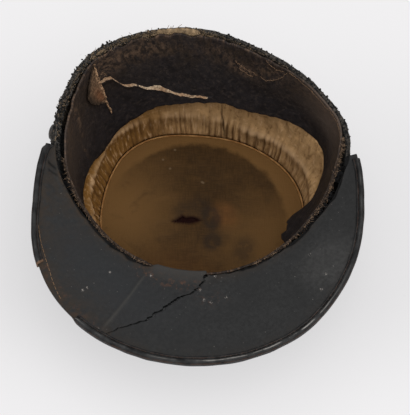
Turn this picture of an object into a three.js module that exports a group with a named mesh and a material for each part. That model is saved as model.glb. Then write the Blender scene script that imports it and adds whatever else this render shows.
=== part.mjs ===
// Kepi cap, lying upside down on its crown with the open side up.
//
// Millimetres, +Z up. The origin is the centre of the crown's flat outer face, which rests on
// the surface. The peak points along -Y. A direction round the cap is an angle from the front:
// 0 at the middle of the peak, 90 at +X, 180 at the back and 270 at -X.
//
// From outside to inside the cap is a base band, a cloth side wall, a canvas stiffener at the
// back, a leather sweatband and a gathered cotton lining. The crown is a cloth covered board
// with a cotton lining of its own, and a corded seam joins the two linings. The peak is two
// leathers with a bound edge. The under leather has torn in two, and the binding has broken.
import * as THREE from "three";

// ---- Driving dimensions ----
const GAP = 0.3; // between neighbouring pieces
const CROWN_BOARD = 2.4;
const CROWN_LIP = 1; // the crown's seam stands this far outside the wall
const WALL = 1.5;
const WALL_BULGE = 3;
const BAND = 1.2;
const BAND_WIDTH = 34;
const COTTON = 1;
const SEAM_CORD = 0.9; // radius
const CANVAS = 1;
const CANVAS_WIDTH = 38;
const CANVAS_ARC = { from: 138, to: 252 };
const SWEAT_LEATHER = 1.2;
const SWEAT_LIP = 0.8; // the sweatband stands this far past the rim
const RIM_HEIGHT = 89.4; // above the crown's centre
const RIM_SLOPE = 0.19; // the back of the rim is higher than the front
const LINING_TUCK = 6; // the side lining goes this far up behind the sweatband

const PEAK_LEATHER = 1.1;
const PEAK_LINING = 1;
const PEAK_EDGE_HEIGHT = 81; // at the middle of the peak's outer edge
const PEAK_EDGE_SLOPE = 0.088;
const PEAK_FRONT = 130.8; // from the origin to the middle of the bound edge
const PEAK_LEFT = -97;
const PEAK_RIGHT = 92.5;
const BINDING = 1;
const BINDING_WIDTH = 5;
const BINDING_ENDS = { left: -93, right: 90.5 };
const BINDING_BREAK = { from: -55, to: -37 };
const TEAR = 0.8; // width of the tear in the peak's under leather

const BUTTON = { at: 255, below: 8, radius: 5.5, dome: 2.2, rim: 0.8, shank: 0.8, shankRadius: 2 };
const LINING_HOLE = { x: -9, y: 4, long: 17, wide: 3.4 };
const TORN_FLAP = { at: 228, below: 1, wide: 14, long: 31, thick: 1, stand: 4, twist: -14 };

// How finely each piece is divided: across its width, and along the pieces that aren't whole rings.
const RING_SEGMENTS = 60;
const ACROSS = { wall: 5, band: 2, canvas: 3, sweatband: 4, lining: 3, peak: 2, peakLining: 8 };
const ALONG = { canvas: 19, peak: 40, tornLeft: 18, tornRight: 22, bindingLeft: 9, bindingFront: 27 };
const CORD_SIDES = 6;
const BUTTON_SIDES = 18;

// ---- Sections round the cap ----
// crown, rim: outer radius of the wall at its two ends. ring: radius of the corded lining seam.
// slack, hang: how far the sweatband stands off the wall, at the rim and at its lower edge.
// width: of the sweatband, down the wall.
const SECTIONS = [
  { at: 0, crown: 71.5, rim: 72.5, ring: 67, slack: 0.6, hang: 2, width: 42 },
  { at: 30, crown: 72, rim: 74.5, ring: 67.5, slack: 0.8, hang: 2, width: 42 },
  { at: 60, crown: 73.5, rim: 81, ring: 69, slack: 2.5, hang: 9, width: 42 },
  { at: 75, crown: 74.5, rim: 87.5, ring: 70, slack: 4, hang: 14, width: 48 },
  { at: 90, crown: 75.5, rim: 93, ring: 71, slack: 4.5, hang: 9, width: 50 },
  { at: 105, crown: 76.5, rim: 96, ring: 72.3, slack: 1, hang: 3, width: 42 },
  { at: 120, crown: 76.5, rim: 91.5, ring: 72, slack: 0.4, hang: 2, width: 42 },
  { at: 150, crown: 73, rim: 85.5, ring: 68.5, slack: 1.6, hang: 11, width: 50 },
  { at: 180, crown: 72, rim: 89.5, ring: 67.5, slack: 1.8, hang: 13, width: 52 },
  { at: 210, crown: 78.5, rim: 97, ring: 74, slack: 1.6, hang: 12, width: 57 },
  { at: 225, crown: 79, rim: 101, ring: 74.5, slack: 2.6, hang: 9, width: 61 },
  { at: 240, crown: 76, rim: 98.2, ring: 71.5, slack: 4, hang: 6, width: 60 },
  { at: 255, crown: 73.5, rim: 95, ring: 69, slack: 5, hang: 5, width: 55 },
  { at: 270, crown: 72.5, rim: 91, ring: 68, slack: 4.5, hang: 4, width: 50 },
  { at: 285, crown: 71.5, rim: 84.5, ring: 67, slack: 3, hang: 3, width: 46 },
  { at: 300, crown: 71, rim: 79, ring: 66.5, slack: 1.5, hang: 2, width: 44 },
  { at: 330, crown: 71, rim: 74, ring: 66.5, slack: 0.8, hang: 2, width: 42 },
];

// reach: from the crown's axis to the outside of the peak's bound edge.
const PEAK_SECTIONS = [
  { at: -97, reach: 97.8 },
  { at: -90, reach: 100 },
  { at: -75, reach: 106 },
  { at: -60, reach: 115.8 },
  { at: -45, reach: 124.5 },
  { at: -30, reach: 128.7 },
  { at: -15, reach: 130.5 },
  { at: 0, reach: PEAK_FRONT },
  { at: 15, reach: 130 },
  { at: 30, reach: 126.8 },
  { at: 45, reach: 119.8 },
  { at: 60, reach: 111.8 },
  { at: 75, reach: 104.8 },
  { at: 90, reach: 100 },
  { at: 97, reach: 97.5 },
];

// The tear across the peak's under leather: at is its angle at a share across, from the rim out.
const TEAR_LINE = [
  { across: 0, at: 5 },
  { across: 0.1, at: 2 },
  { across: 0.22, at: -5 },
  { across: 0.34, at: -10 },
  { across: 0.55, at: -16 },
  { across: 0.8, at: -23.5 },
  { across: 1, at: -28 },
];

// ---- Interpolation ----
const DEGREE = Math.PI / 180;
const mix = THREE.MathUtils.lerp;

// A smooth value from a table's rows: a cubic with each row's slope taken from its neighbours.
function smooth(rows, key, column, x, period = 0) {
  const count = rows.length;
  const row = (i) => {
    if (!period) return rows[THREE.MathUtils.clamp(i, 0, count - 1)];
    return rows[((i % count) + count) % count];
  };
  const turn = (i) => (period ? Math.floor(i / count) * period : 0);
  const keyAt = (i) => row(i)[key] + turn(i);
  if (period) x = THREE.MathUtils.euclideanModulo(x, period);
  let i = 0;
  while (i < count - (period ? 1 : 2) && keyAt(i + 1) <= x) i += 1;
  const span = keyAt(i + 1) - keyAt(i);
  const share = THREE.MathUtils.clamp((x - keyAt(i)) / span, 0, 1);
  const value = (j) => row(j)[column];
  const slope = (j) => {
    const width = keyAt(j + 1) - keyAt(j - 1);
    return width ? ((value(j + 1) - value(j - 1)) / width) * span : 0;
  };
  const s2 = share * share;
  const s3 = s2 * share;
  return (
    (2 * s3 - 3 * s2 + 1) * value(i) +
    (s3 - 2 * s2 + share) * slope(i) +
    (3 * s2 - 2 * s3) * value(i + 1) +
    (s3 - s2) * slope(i + 1)
  );
}

const section = (at, column) => smooth(SECTIONS, "at", column, at, 360);
const reach = (at) => smooth(PEAK_SECTIONS, "at", "reach", at);
const tear = (across) => smooth(TEAR_LINE, "across", "at", across);

// ---- The cap's form ----
const polar = (at, radius, z) =>
  new THREE.Vector3(radius * Math.sin(at * DEGREE), -radius * Math.cos(at * DEGREE), z);

const rimHeight = (at) =>
  RIM_HEIGHT - RIM_SLOPE * section(at, "rim") * Math.cos(at * DEGREE);

const WALL_FOOT = CROWN_BOARD + GAP;

// The length of the wall down one section, from the rim to the crown.
const wallLength = (at) =>
  Math.hypot(rimHeight(at) - WALL_FOOT, section(at, "rim") - section(at, "crown"));

// A point at a share up the wall, 0 at the crown and 1 at the rim, that far inside its outer face.
function onWall(at, share, depth) {
  const bulge = WALL_BULGE * 4 * share * (1 - share);
  const radius = mix(section(at, "crown"), section(at, "rim"), share) + bulge - depth;
  return polar(at, radius, mix(WALL_FOOT, rimHeight(at), share));
}

// The share up the wall of a point that many millimetres below the rim.
const belowRim = (at, distance) => 1 - distance / wallLength(at);

// The sweatband: across is 0 at the rim and 1 at its lower edge.
function onSweatband(at, across, depth) {
  const stand = mix(section(at, "slack"), section(at, "hang"), across);
  const distance = mix(-SWEAT_LIP, section(at, "width"), across);
  return onWall(at, belowRim(at, distance), WALL + GAP + stand + depth);
}

// The side lining, from the corded seam at 0 to its edge behind the sweatband at 1.
function onSideLining(at, across, depth) {
  const foot = polar(at, section(at, "ring") + SEAM_CORD + GAP + COTTON, WALL_FOOT + COTTON);
  const tuck = belowRim(at, section(at, "width") - LINING_TUCK);
  const top = onWall(at, tuck, WALL + GAP);
  return foot.lerp(top, across).add(polar(at, -depth, 0));
}

// The peak lies on the rim: across is 0 at its inner edge and 1 at its outer edge.
function onPeak(at, across, height) {
  const inner = section(at, "rim") - WALL;
  const outer = reach(at) - BINDING - GAP;
  const edge = PEAK_EDGE_HEIGHT + PEAK_EDGE_SLOPE * (PEAK_FRONT - outer * Math.cos(at * DEGREE));
  return polar(at, mix(inner, outer, across), mix(rimHeight(at) + GAP, edge, across) + height);
}

// ---- Making solids ----
// Moves each vertex of a geometry to where place(x, y, z) puts it.
function reshape(geometry, place) {
  const position = geometry.getAttribute("position");
  for (let i = 0; i < position.count; i += 1) {
    const p = place(position.getX(i), position.getY(i), position.getZ(i));
    position.setXYZ(i, p.x, p.y, p.z);
  }
  geometry.computeVertexNormals();
  return geometry;
}

// A closed wall all round the cap. place(angle, across, depth) gives each point, where across
// runs from 0 to 1 over its width, in that many steps, and depth from 0 to thick inwards.
function wallRing(place, thick, steps) {
  const profile = [];
  for (let i = 0; i <= steps; i += 1) profile.push(new THREE.Vector2(2, i / steps));
  for (let i = steps; i >= 0; i -= 1) profile.push(new THREE.Vector2(1, i / steps));
  profile.push(profile[0].clone());
  return reshape(new THREE.LatheGeometry(profile, RING_SEGMENTS), (x, y, z) => {
    const at = Math.atan2(x, z) / DEGREE;
    return place(at, y, (2 - Math.hypot(x, z)) * thick);
  });
}

// A closed sheet over part of the cap. place(along, across, height) gives each point, where
// along and across run from 0 to 1, in that many steps, and height from 0 to thick.
function sheet(thick, alongSteps, acrossSteps, place) {
  const block = new THREE.BoxGeometry(1, 1, 1, acrossSteps, 1, alongSteps);
  return reshape(block.translate(0.5, 0.5, 0.5), (x, y, z) => place(z, x, y * thick));
}

// A flat outline round the crown's axis, as a shape.
function outlineShape(radius, segments = RING_SEGMENTS) {
  const points = [];
  for (let i = 0; i < segments; i += 1) {
    const p = polar((i * 360) / segments, radius((i * 360) / segments), 0);
    points.push(new THREE.Vector2(p.x, p.y));
  }
  return new THREE.Shape(points);
}

// ---- Materials ----
const material = (color, roughness, metalness = 0) =>
  new THREE.MeshStandardMaterial({ color, roughness, metalness });
const wool = material("#1d1f22", 0.95);
const leather = material("#2f3031", 0.6);
const sweatLeather = material("#2a2320", 0.7);
const fleshSide = material("#7d6247", 0.9);
const cotton = material("#8f6f43", 0.85);
const glazedCotton = material("#4f3b20", 0.7);
const canvas = material("#a58660", 0.95);
const horn = material("#2b2521", 0.4);

const kepi = new THREE.Group();

function add(name, geometry, finish) {
  const mesh = new THREE.Mesh(geometry, finish);
  mesh.name = name;
  kepi.add(mesh);
  return mesh;
}

// ---- Crown ----
const CROWN_BEVEL = 0.6;
const crown = new THREE.ExtrudeGeometry(
  outlineShape((at) => section(at, "crown") + CROWN_LIP - CROWN_BEVEL),
  {
    depth: CROWN_BOARD - 2 * CROWN_BEVEL,
    bevelThickness: CROWN_BEVEL,
    bevelSize: CROWN_BEVEL,
    bevelSegments: 2,
  },
);
add("crown", crown.translate(0, 0, CROWN_BEVEL), wool);

const liningDisc = outlineShape((at) => section(at, "ring") - SEAM_CORD - GAP);
const hole = new THREE.Path();
const { x: holeX, y: holeY, long, wide } = LINING_HOLE;
hole.absellipse(holeX, holeY, long / 2, wide / 2, 0, 2 * Math.PI);
liningDisc.holes.push(hole);
const crownLining = new THREE.ExtrudeGeometry(liningDisc, { depth: COTTON, bevelEnabled: false });
add("crown_lining", crownLining.translate(0, 0, WALL_FOOT), glazedCotton);

// ---- Sides ----
add("side_wall", wallRing((at, across, depth) => onWall(at, across, depth), WALL, ACROSS.wall), wool);

const onBand = (at, across, depth) =>
  onWall(at, belowRim(at, (1 - across) * BAND_WIDTH), depth - BAND - GAP);
add("base_band", wallRing(onBand, BAND, ACROSS.band), wool);

const canvasSheet = sheet(CANVAS, ALONG.canvas, ACROSS.canvas, (along, across, depth) => {
  const at = mix(CANVAS_ARC.from, CANVAS_ARC.to, along);
  return onWall(at, belowRim(at, across * CANVAS_WIDTH - SWEAT_LIP), WALL + GAP + depth);
});
add("canvas_stiffener", canvasSheet, canvas);

// ---- Inside ----
const sweat = (at, across, depth) => onSweatband(at, 1 - across, depth);
add("sweatband", wallRing(sweat, SWEAT_LEATHER, ACROSS.sweatband), sweatLeather);
add("side_lining", wallRing(onSideLining, COTTON, ACROSS.lining), cotton);

const seamCircle = [];
for (let i = 0; i <= CORD_SIDES; i += 1) {
  const turn = (i * 2 * Math.PI) / CORD_SIDES;
  seamCircle.push(new THREE.Vector2(2 + Math.cos(turn), Math.sin(turn)));
}
const seamRing = new THREE.LatheGeometry(seamCircle, RING_SEGMENTS);
const liningSeam = reshape(seamRing, (x, y, z) => {
  const at = Math.atan2(x, z) / DEGREE;
  const out = (Math.hypot(x, z) - 2) * SEAM_CORD;
  return polar(at, section(at, "ring") + out, WALL_FOOT + SEAM_CORD * (1 + y));
});
add("lining_seam", liningSeam, cotton);

// The tongue of leather that has torn away from the sweatband and hangs into the cap.
const half = TORN_FLAP.wide / 2;
const tongue = new THREE.Shape();
tongue.moveTo(-half * 0.3, 0);
tongue.lineTo(half * 0.25, 0);
tongue.quadraticCurveTo(half * 0.6, -TORN_FLAP.long * 0.45, half, -TORN_FLAP.long * 0.8);
tongue.quadraticCurveTo(half * 0.5, -TORN_FLAP.long, 0, -TORN_FLAP.long);
tongue.quadraticCurveTo(-half, -TORN_FLAP.long * 0.9, -half * 0.9, -TORN_FLAP.long * 0.5);
tongue.closePath();
const flap = add(
  "torn_flap",
  new THREE.ExtrudeGeometry(tongue, {
    depth: TORN_FLAP.thick,
    bevelEnabled: false,
    curveSegments: 5,
  }).rotateX(Math.PI / 2),
  fleshSide,
);
const flapShare = TORN_FLAP.below / section(TORN_FLAP.at, "width");
const flapTop = onSweatband(TORN_FLAP.at, flapShare, SWEAT_LEATHER + TORN_FLAP.stand);
const flapFoot = onSweatband(TORN_FLAP.at, 0.7, SWEAT_LEATHER + TORN_FLAP.stand);
const down = flapFoot.clone().sub(flapTop).normalize();
flap.position.copy(flapTop);
flap.up.set(0, 0, 1);
flap.quaternion.setFromUnitVectors(new THREE.Vector3(0, 0, -1), down);
flap.rotateZ((TORN_FLAP.at + TORN_FLAP.twist) * DEGREE);

// ---- Peak ----
// from(across) and to(across) are the angles of a sheet's left and right edges.
const onPeakSheet = (from, to, lift) => (along, across, height) =>
  onPeak(mix(to(across), from(across), along), across, lift + height);
const leftTip = () => PEAK_LEFT;
const rightTip = () => PEAK_RIGHT;
const onUpper = onPeakSheet(leftTip, rightTip, 0);
add("peak", sheet(PEAK_LEATHER, ALONG.peak, ACROSS.peak, onUpper), leather);

const tearHalf = (across) => TEAR / 2 / DEGREE / mix(section(0, "rim"), PEAK_FRONT, across);
const toTear = (across) => tear(across) - tearHalf(across);
const fromTear = (across) => tear(across) + tearHalf(across);
const onLeft = onPeakSheet(leftTip, toTear, PEAK_LEATHER + GAP);
const onRight = onPeakSheet(fromTear, rightTip, PEAK_LEATHER + GAP);
const underLeather = (along, place) => sheet(PEAK_LINING, along, ACROSS.peakLining, place);
add("peak_lining_left", underLeather(ALONG.tornLeft, onLeft), leather);
add("peak_lining_right", underLeather(ALONG.tornRight, onRight), leather);

// The binding folds round the peak's edge. Its section is in millimetres: x inwards from the
// outside of the bound edge, and y up from the peak's lower face.
const PEAK_THICK = PEAK_LEATHER + GAP + PEAK_LINING;
const BINDING_SECTION = [
  [0, -GAP - BINDING],
  [BINDING_WIDTH, -GAP - BINDING],
  [BINDING_WIDTH, -GAP],
  [BINDING, -GAP],
  [BINDING, PEAK_THICK + GAP],
  [BINDING_WIDTH, PEAK_THICK + GAP],
  [BINDING_WIDTH, PEAK_THICK + GAP + BINDING],
  [0, PEAK_THICK + GAP + BINDING],
];
function binding(from, to, steps) {
  const shape = new THREE.Shape(BINDING_SECTION.map(([x, y]) => new THREE.Vector2(x, y)));
  const straight = new THREE.ExtrudeGeometry(shape, { depth: 1, steps, bevelEnabled: false });
  return reshape(straight, (x, y, z) => {
    const at = mix(from, to, z);
    const width = reach(at) - BINDING - GAP - (section(at, "rim") - WALL);
    return onPeak(at, 1 + (BINDING + GAP - x) / width, y);
  });
}
const bindingLeft = binding(BINDING_ENDS.left, BINDING_BREAK.from, ALONG.bindingLeft);
add("binding_left", bindingLeft, leather);
const bindingFront = binding(BINDING_BREAK.to, BINDING_ENDS.right, ALONG.bindingFront);
add("binding_front", bindingFront, leather);

// ---- Side button ----
const buttonProfile = [
  [0, -BUTTON.shank],
  [BUTTON.shankRadius, -BUTTON.shank],
  [BUTTON.shankRadius, 0],
  [BUTTON.radius, 0],
  [BUTTON.radius, BUTTON.rim],
  [BUTTON.radius * 0.85, BUTTON.rim + BUTTON.dome * 0.55],
  [BUTTON.radius * 0.5, BUTTON.rim + BUTTON.dome * 0.9],
  [0, BUTTON.rim + BUTTON.dome],
].map(([x, y]) => new THREE.Vector2(x, y));
const button = add("side_button", new THREE.LatheGeometry(buttonProfile, BUTTON_SIDES), horn);
const buttonDepth = -BAND - 2 * GAP - BUTTON.shank;
button.position.copy(onWall(BUTTON.at, belowRim(BUTTON.at, BUTTON.below), buttonDepth));
button.quaternion.setFromUnitVectors(new THREE.Vector3(0, 1, 0), polar(BUTTON.at, 1, 0));

export default kepi;
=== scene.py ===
"""A worn kepi cap that lies upside down on its crown, dressed around the frame of its CAD part.

Every piece takes its form from the sections of the CAD node that it stands for. A direction
round the cap is an angle from the front, in degrees, with 90 at +X. Random numbers are seeded,
so each run makes the same cap.
"""

import math

import bmesh
import bpy
import numpy as np
from bpy.props import FloatProperty, FloatVectorProperty, IntProperty, PointerProperty
from bpy.types import Operator, Panel, PropertyGroup
from mathutils import Matrix, Vector


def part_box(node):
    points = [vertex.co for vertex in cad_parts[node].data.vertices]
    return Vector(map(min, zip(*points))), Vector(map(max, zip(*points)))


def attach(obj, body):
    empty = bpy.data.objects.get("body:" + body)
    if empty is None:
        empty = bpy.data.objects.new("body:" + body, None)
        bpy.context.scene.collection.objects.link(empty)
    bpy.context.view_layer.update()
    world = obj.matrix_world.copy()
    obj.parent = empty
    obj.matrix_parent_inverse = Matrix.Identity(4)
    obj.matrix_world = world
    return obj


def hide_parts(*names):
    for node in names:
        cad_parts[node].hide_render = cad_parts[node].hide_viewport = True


bl_info = {
    "name": "Kepi Cap",
    "version": (1, 0, 0),
    "blender": (4, 5, 0),
    "location": "3D View > Sidebar > Kepi",
    "description": "Builds a worn kepi that lies upside down on its crown",
    "category": "Add Mesh",
}

MM = 0.001
# Angles round a closed ring are counted from here, so that none of its columns is split in two.
ALL_ROUND = -0.5
# Keeps a step from having no width at all.
TINY = 1e-6

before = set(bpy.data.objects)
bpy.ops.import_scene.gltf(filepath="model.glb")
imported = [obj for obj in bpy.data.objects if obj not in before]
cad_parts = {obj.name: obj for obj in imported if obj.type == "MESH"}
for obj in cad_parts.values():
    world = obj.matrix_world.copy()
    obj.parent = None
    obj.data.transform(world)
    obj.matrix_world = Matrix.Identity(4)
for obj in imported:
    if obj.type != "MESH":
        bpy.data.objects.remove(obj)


# ---- Settings ----


def linear(code):
    """The linear colour of an sRGB hex code."""
    parts = [int(code[i : i + 2], 16) / 255 for i in (1, 3, 5)]
    return tuple(((p + 0.055) / 1.055) ** 2.4 if p > 0.04045 else p / 12.92 for p in parts)


def dye(name, code, description):
    """A colour that can be picked."""
    return FloatVectorProperty(
        name=name, description=description, subtype="COLOR", min=0, max=1, default=linear(code)
    )


def length(name, mm, description):
    """A length that can be set, given in millimetres."""
    return FloatProperty(
        name=name, description=description, unit="LENGTH", min=0, default=mm * MM, precision=5
    )


class KepiColours(PropertyGroup):
    """The colours of the cap's materials and of the table."""

    wool: dye("Wool", "#151516", "Broadcloth of the sides, the band and the crown")
    lint: dye("Lint", "#7d6c57", "Dust and canvas fibres caught in the wool")
    canvas: dye("Canvas", "#b89c79", "Stiffener behind the sweatband")
    peak: dye("Peak", "#292929", "Under leather of the peak")
    peak_brown: dye("Peak, worn", "#33291f", "Under leather where its dressing has rubbed off")
    rust: dye("Rust", "#553a2b", "Reddish scuffs and stitch holes")
    varnish: dye("Varnish", "#0d0d0e", "Upper leather and binding of the peak")
    sweat: dye("Sweatband", "#221e1f", "Leather of the sweatband, low in the cap")
    sweat_brown: dye("Sweatband, worn", "#28201a", "Leather of the sweatband near the rim")
    # Painted light on the band's lit sides at the temples, with faded dye there, and the rubbed tops of its
    # grain.
    sweat_grey_and_lit: dye("Sweatband, faded", "#53473f", "Leather of the sweatband at the temples")
    flesh: dye("Flesh side", "#ab8869", "Raw leather where it has torn")
    cotton: dye("Cotton", "#c49c6c", "Gathered side lining")
    # Painted highlight on the lining's ridge and on the tops of its creases.
    cotton_highlight: dye("Cotton, highlight", "#d9b48a", "Side lining along its ridge and on its pleats")
    # Painted shade in the lining's folds, in its creases and along its seam.
    cotton_fold_shade: dye("Cotton, in the folds", "#5a3d20", "Side lining in its folds and along its seam")
    glazed: dye("Glazed cotton", "#49341c", "Crown lining in the middle")
    glazed_edge: dye("Glazed cotton, edge", "#6a4d2b", "Crown lining along its seam")
    stain: dye("Stain", "#1d1a18", "Dark stains beside the hole")
    table: dye("Table", "#e6e5e6", "Lit table under the cap")


class KepiSizes(PropertyGroup):
    """Sizes of the small things that the CAD part leaves out."""

    pleats: IntProperty(
        name="Pleats", description="Gathers all round the side lining", default=98, min=12, max=200
    )
    pleat_depth: length("Pleat depth", 1.3, "How far the pleats stand out at the corded seam")
    thread: length("Thread", 0.32, "Diameter of the sewing thread")
    stitch: length("Stitch", 3.2, "Length of a stitch with its gap")
    fuzz: length("Fuzz", 1.3, "Length of the wool fibres along the rim")
    lip: length("Torn lip", 1.15, "Usual width of the raw edge along the sweatband's crack")
    tear: length("Peak tear", 1.8, "Width of the tear across the peak's under leather, at its widest")


# ---- Smooth forms read from the frame ----


def cubic(value, count, x, closed=False):
    """Smooth values at places x, counted in rows, through the rows that value(index) gives."""
    low = np.floor(x).astype(int)
    if not closed:
        low = np.clip(low, 0, count - 2)
    index = [(low + k) % count if closed else np.clip(low + k, 0, count - 1) for k in (-1, 0, 1, 2)]
    before, start, end, after = (value(i) for i in index)
    shape = (-1,) + (1,) * (start.ndim - 1)
    if not closed:
        before = np.where((low == 0).reshape(shape), 2 * start - end, before)
        after = np.where((low == count - 2).reshape(shape), 2 * end - start, after)
    t = (x - low).reshape(shape)
    bend = 2 * before - 5 * start + 4 * end - after + t * (3 * (start - end) + after - before)
    return start + 0.5 * t * (end - before + t * bend)


def polar(at, radius, height):
    """Points at these angles, radii and heights, one row each."""
    turn = np.radians(at)
    return np.stack([radius * np.sin(turn), -radius * np.cos(turn), height], axis=-1)


def grouped(values, gap):
    """Groups of values, as indexes in rising order, that have no wider gap than that in them."""
    order = np.argsort(values)
    return np.split(order, np.nonzero(np.diff(values[order]) > gap)[0] + 1)


def measured(node, start=-180):
    """The angle, radius and height of each vertex of a CAD node, with angles counted from start."""
    co = np.array([v.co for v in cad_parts[node].data.vertices])
    at = (np.degrees(np.arctan2(co[:, 0], -co[:, 1])) - start) % 360 + start
    return at, np.hypot(co[:, 0], co[:, 1]), co[:, 2]


def outline(node):
    """The outer radius and the mid height of a CAD ring or disc, as a smooth function of angle."""
    at, radius, height = measured(node, ALL_ROUND)
    rows = [(radius[g].max(), (height[g].max() + height[g].min()) / 2) for g in grouped(at, 1)]
    table = np.array(rows)
    return lambda angle: cubic(lambda i: table[i], len(table), angle / 360 * len(table), True)


class Form:
    """The form of a CAD sheet that runs round the cap, as a smooth function.

    Share goes from 0 at the foot of a wall to 1 at its top, or from 0 at the inner edge of a flat
    sheet to 1 at its outer edge. The first face is a wall's outer one or a flat sheet's upper one,
    and depth goes from it to the other face.
    """

    def __init__(self, node, start=ALL_ROUND, flat=False):
        self.closed = start == ALL_ROUND
        at, radius, height = measured(node, start)
        across, through = (radius, height) if flat else (height, radius)
        angles = []
        rows = []
        for column in grouped(at, 1):
            row = []
            for level in grouped(across[column], 0.1 * MM):
                spot = column[level]
                pair = [(across[spot].mean(), end(through[spot])) for end in (np.max, np.min)]
                row.append(pair if flat else [p[::-1] for p in pair])
            angles.append(at[column].mean())
            rows.append(row)
        self.table = np.array(rows)
        self.first = angles[0]
        self.last = angles[-1]
        self.step = (self.last - self.first) / (len(angles) - 1)
        self.thick = float(np.abs(self.table[:, :, 0] - self.table[:, :, 1]).max(axis=2).mean())

    def faces(self, at, share):
        """Radius and height on both faces."""
        x = (np.asarray(at, float) - self.first) / self.step
        rows = cubic(lambda i: self.table[i], len(self.table), x, self.closed)
        each = np.arange(len(x))
        levels = rows.shape[1]
        return cubic(lambda i: rows[each, i], levels, np.asarray(share, float) * (levels - 1))

    def place(self, at, share, depth=0.0):
        """Points at these angles and shares, that deep from the first face."""
        at, share, depth = np.broadcast_arrays(*(np.atleast_1d(x) for x in (at, share, depth)))
        pair = self.faces(at, share)
        through = pair[:, 1] - pair[:, 0]
        through = through / np.linalg.norm(through, axis=1, keepdims=True)
        spot = pair[:, 0] + through * depth[:, None]
        return polar(at, spot[:, 0], spot[:, 1])

    def angle(self, along):
        """The angle at that share of the way along the sheet."""
        return between(self.first, self.last, along)

    def width(self, at):
        """The distance from share 0 to share 1 on the first face."""
        at = np.atleast_1d(at)
        ends = [self.faces(at, np.full(len(at), float(s)))[:, 0] for s in (0, 1)]
        return np.linalg.norm(ends[1] - ends[0], axis=1)


class Ripple:
    """Smooth random values from -1 to 1 over a sheet that runs round the cap."""

    def __init__(self, seed, around, across=1):
        self.table = np.random.default_rng(seed).uniform(-1, 1, (around, across + 1))

    def __call__(self, at, share=0.0):
        around, across = self.table.shape
        x, y = np.broadcast_arrays(np.atleast_1d(at) / 360 * around, np.atleast_1d(share))
        rows = cubic(lambda i: self.table[i], around, x, True)
        each = np.arange(len(x))
        return cubic(lambda i: rows[each, i], across, np.clip(y, 0, 1) * (across - 1))


def between(first, last, share):
    """The value at that share of the way from first to last."""
    return first + share * (last - first)


def bell(x, middle, spread):
    """1 at the middle, falling smoothly to nearly 0 twice the spread away."""
    return np.exp(-(((x - middle) / spread) ** 2))


def ease(x, low, high):
    """0 below low and 1 above high, with a smooth step between."""
    t = np.clip((x - low) / (high - low), 0, 1)
    return t * t * (3 - 2 * t)


def track(x, points):
    """Values along a line of (x, value) points."""
    keys, values = zip(*points)
    return np.interp(x, keys, values)


def blots(at, share, table):
    """Soft marks. A row has an angle, a share, the spread of each and the strength."""
    return sum(much * bell(at, x, wide) * bell(share, y, tall) for x, y, wide, tall, much in table)


# ---- Making pieces ----


def sheet(across, place, closed=False, flip=False, marks=None, size=(1, 1)):
    """A grid bent to its form by place(along, across), which both run from 0 to 1.

    across is (columns, rows). marks(along, across) gives named values to keep on the vertices,
    and size is the flat size in millimetres, for the UV map.
    """
    bm = bmesh.new()
    bmesh.ops.create_grid(bm, x_segments=across[0], y_segments=across[1], size=0.5)
    bmesh.ops.translate(bm, verts=bm.verts, vec=(0.5, 0.5, 0))
    uv = bm.loops.layers.uv.new("flat")
    for face in bm.faces:
        for loop in face.loops:
            loop[uv].uv = (loop.vert.co.x * size[0], loop.vert.co.y * size[1])
    flat = np.array([v.co for v in bm.verts])
    for name, values in (marks(flat[:, 0], flat[:, 1]) if marks else {}).items():
        layer = bm.verts.layers.float.new(name)
        for vert, value in zip(bm.verts, values):
            vert[layer] = value
    for vert, spot in zip(bm.verts, place(flat[:, 0], flat[:, 1])):
        vert.co = spot
    if closed:
        bmesh.ops.remove_doubles(bm, verts=bm.verts, dist=TINY)
    if flip:
        bmesh.ops.reverse_faces(bm, faces=bm.faces)
    return bm


def add_piece(name, bm, material, nodes=(), thick=0.0):
    """Links a finished mesh as a piece of the cap and puts it on the frame."""
    mesh = bpy.data.meshes.new(name)
    bm.to_mesh(mesh)
    bm.free()
    mesh.materials.append(material)
    mesh.shade_smooth()
    piece = bpy.data.objects.new(name, mesh)
    bpy.context.scene.collection.objects.link(piece)
    if thick:
        solid = piece.modifiers.new("Thickness", "SOLIDIFY")
        solid.thickness = thick
        solid.offset = -1
    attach(piece, "root")
    if nodes:
        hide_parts(*nodes)
    return piece


def add_strands(name, lines, radius, material, taper=0.25):
    """Fine threads as one mesh, each thinner towards its end. lines is a list of point rows."""
    curve = bpy.data.curves.new(name, "CURVE")
    curve.dimensions = "3D"
    curve.bevel_depth = radius
    curve.bevel_resolution = 0
    curve.use_fill_caps = True
    for line in lines:
        spline = curve.splines.new("POLY")
        spline.points.add(len(line) - 1)
        rows = np.column_stack([line, np.ones(len(line))])
        spline.points.foreach_set("co", rows.ravel())
        spline.points.foreach_set("radius", np.linspace(1, taper, len(line)))
    drawn = bpy.data.objects.new(name, curve)
    bpy.context.scene.collection.objects.link(drawn)
    mesh = bpy.data.meshes.new_from_object(drawn.evaluated_get(bpy.context.evaluated_depsgraph_get()))
    bpy.data.objects.remove(drawn)
    bpy.data.curves.remove(curve)
    bm = bmesh.new()
    bm.from_mesh(mesh)
    bpy.data.meshes.remove(mesh)
    return add_piece(name, bm, material)


def fibres(random, roots, heading, reach, curl=0.6, steps=4):
    """Bent fibres from these roots, that each wander off along the heading, up to reach long."""
    lines = []
    for root, way in zip(roots, heading):
        step = reach * random.uniform(0.35, 1) / steps
        way = np.array(way) / np.linalg.norm(way)
        line = [root]
        for _ in range(steps):
            way = way + random.normal(0, curl / 2, 3)
            way = way / np.linalg.norm(way)
            line.append(line[-1] + way * step)
        lines.append(np.array(line))
    return lines


# ---- Materials ----


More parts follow.
